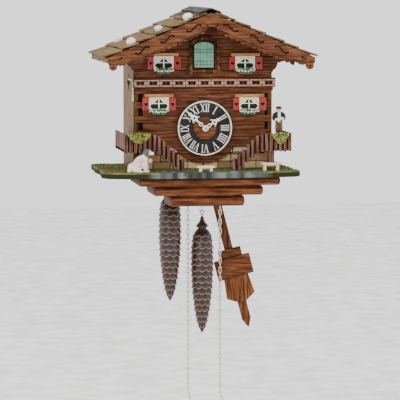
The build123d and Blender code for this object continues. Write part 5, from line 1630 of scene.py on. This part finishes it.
def make_bird():
    """Small carved cuckoo on its slide bar."""
    z = 111.0
    shape = Shape()
    shape.ball((0, -62.8, z + 2.6), (3.6, 3.8, 3.6))
    shape.ball((0, -54.0, z - 0.4), (3.9, 7.4, 4.2), turn=(-8, 0, 0))
    shape.ball((0, -45.8, z - 1.0), (1.9, 4.2, 1.0), turn=(-6, 0, 0))
    shape.ball((0, -67.6, z + 2.4), (0.9, 2.3, 0.8))
    for side in (-1, 1):
        shape.ball((side * 3.6, -53.4, z - 0.2), (1.0, 5.4, 2.6), turn=(-8, 0, 0))

    def tint(p):
        if p.y < -66.2:
            return (0.72, 0.46, 0.10)
        return (0.30, 0.20, 0.12) if p.z > z + 0.6 else (0.72, 0.62, 0.46)

    fused(shape, "bird_carving", 0.4, "cuckoo_bird", ["cuckoo_bird"], tint)
    bar = Shape()
    bar.tube([(0, -41.8, z - 5.4), (0, -52.0, z - 5.4), (0, -67.6, z - 5.4)], 1.2, 12)
    bar.box((-0.6, -56, z - 5.6), (0.6, -53, z - 3.0))
    bar.piece("bird_slide_bar", mat["steel"], "cuckoo_bird", smooth=True)
    eyes = Shape()
    for side in (-1, 1):
        eyes.ball((side * 2.7, -64.9, z + 3.6), (0.4, 0.5, 0.5), (0.02, 0.02, 0.02), segments=8)
    eyes.piece("bird_eyes", mat["figure"], "cuckoo_bird", smooth=True)


def make_lever():
    bar_x = -71.95
    shape = Shape()
    shape.box((bar_x - 0.6, -79, 89.2), (bar_x + 0.6, -50, 90.8))
    shape.ball((bar_x, -50, 90), (0.7, 1.8, 1.8), segments=16)
    shape.piece("lever_arm", mat["steel"], "shut_off_lever", ["shut_off_lever"], bevel=0.2)
    blade = Shape()
    blade.box((bar_x - 0.65, -80.4, 68.5), (bar_x + 0.65, -77.6, 89.6))
    blade.piece("lever_blade", mat["bench"], "shut_off_lever", bevel=0.3)


def make_sound_hole_liners():
    """Dark cloth behind the side sound holes."""
    shape = Shape()
    for side in (-1, 1):
        shape.box((side * 65.2, -52, 74), (side * 65.7, -28, 98))
    shape.piece("sound_hole_cloth", mat["groove"], bevel=0.1)


def make_floor():
    shape = Shape()
    size = 3.0
    low = cad_box[0][2] - 0.012
    verts = [shape.mesh.verts.new((x, y, low)) for x, y in
             ((-size, -size), (size, -size), (size, size), (-size, size))]
    shape.mesh.faces.new(verts)
    data = bpy.data.meshes.new("studio_floor")
    shape.mesh.to_mesh(data)
    shape.mesh.free()
    floor_obj = bpy.data.objects.new("studio_floor", data)
    bpy.context.scene.collection.objects.link(floor_obj)
    data.materials.append(mat["floor"])


def main():
    make_camera()
    make_lights()
    make_materials()
    tilt = radians(PENDULUM_TILT)
    tones = ((0.032, 0.0085, 0.0028), (0.125, 0.038, 0.012), (0.235, 0.085, 0.029))
    mat["pendulum_rod"] = wood("pendulum_rod_wood", *tones, along="Z", turn=(0, tilt, 0))
    mat["pendulum_wood"] = wood("pendulum_block_wood", *tones, along="X", turn=(0, tilt, 0))
    mat["pendulum_burl"] = wood("pendulum_burl_wood", (0.036, 0.0095, 0.003), (0.155, 0.050, 0.015),
                                (0.31, 0.125, 0.042), along="Z", turn=(0, tilt + 0.35, 0))
    for label, centre in CHAIN_CENTRES.items():
        make_chain(label, centre, HOOK_TOPS[label])
    for label, centre in CHAIN_CENTRES.items():
        make_weight(label, centre - SPROCKET_R, CAP_TOPS[label])
    make_front()
    make_cuckoo_door()
    make_door_frame()
    make_band()
    make_windows()
    make_shutters()
    make_flower_boxes()
    make_dial()
    make_hands()
    make_shingles(-1, "shingles_left")
    make_shingles(1, "shingles_right")
    make_ridge()
    make_bargeboards()
    make_pebbles()
    make_stone_wall()
    make_balcony(-1, "balcony_left")
    make_balcony(1, "balcony_right")
    make_moss()
    make_garden()
    make_foot_logs()
    make_benches()
    make_dog()
    make_man()
    make_pendulum()
    make_bird()
    make_lever()
    make_sound_hole_liners()
    finish_kept_nodes()
    make_floor()


main()
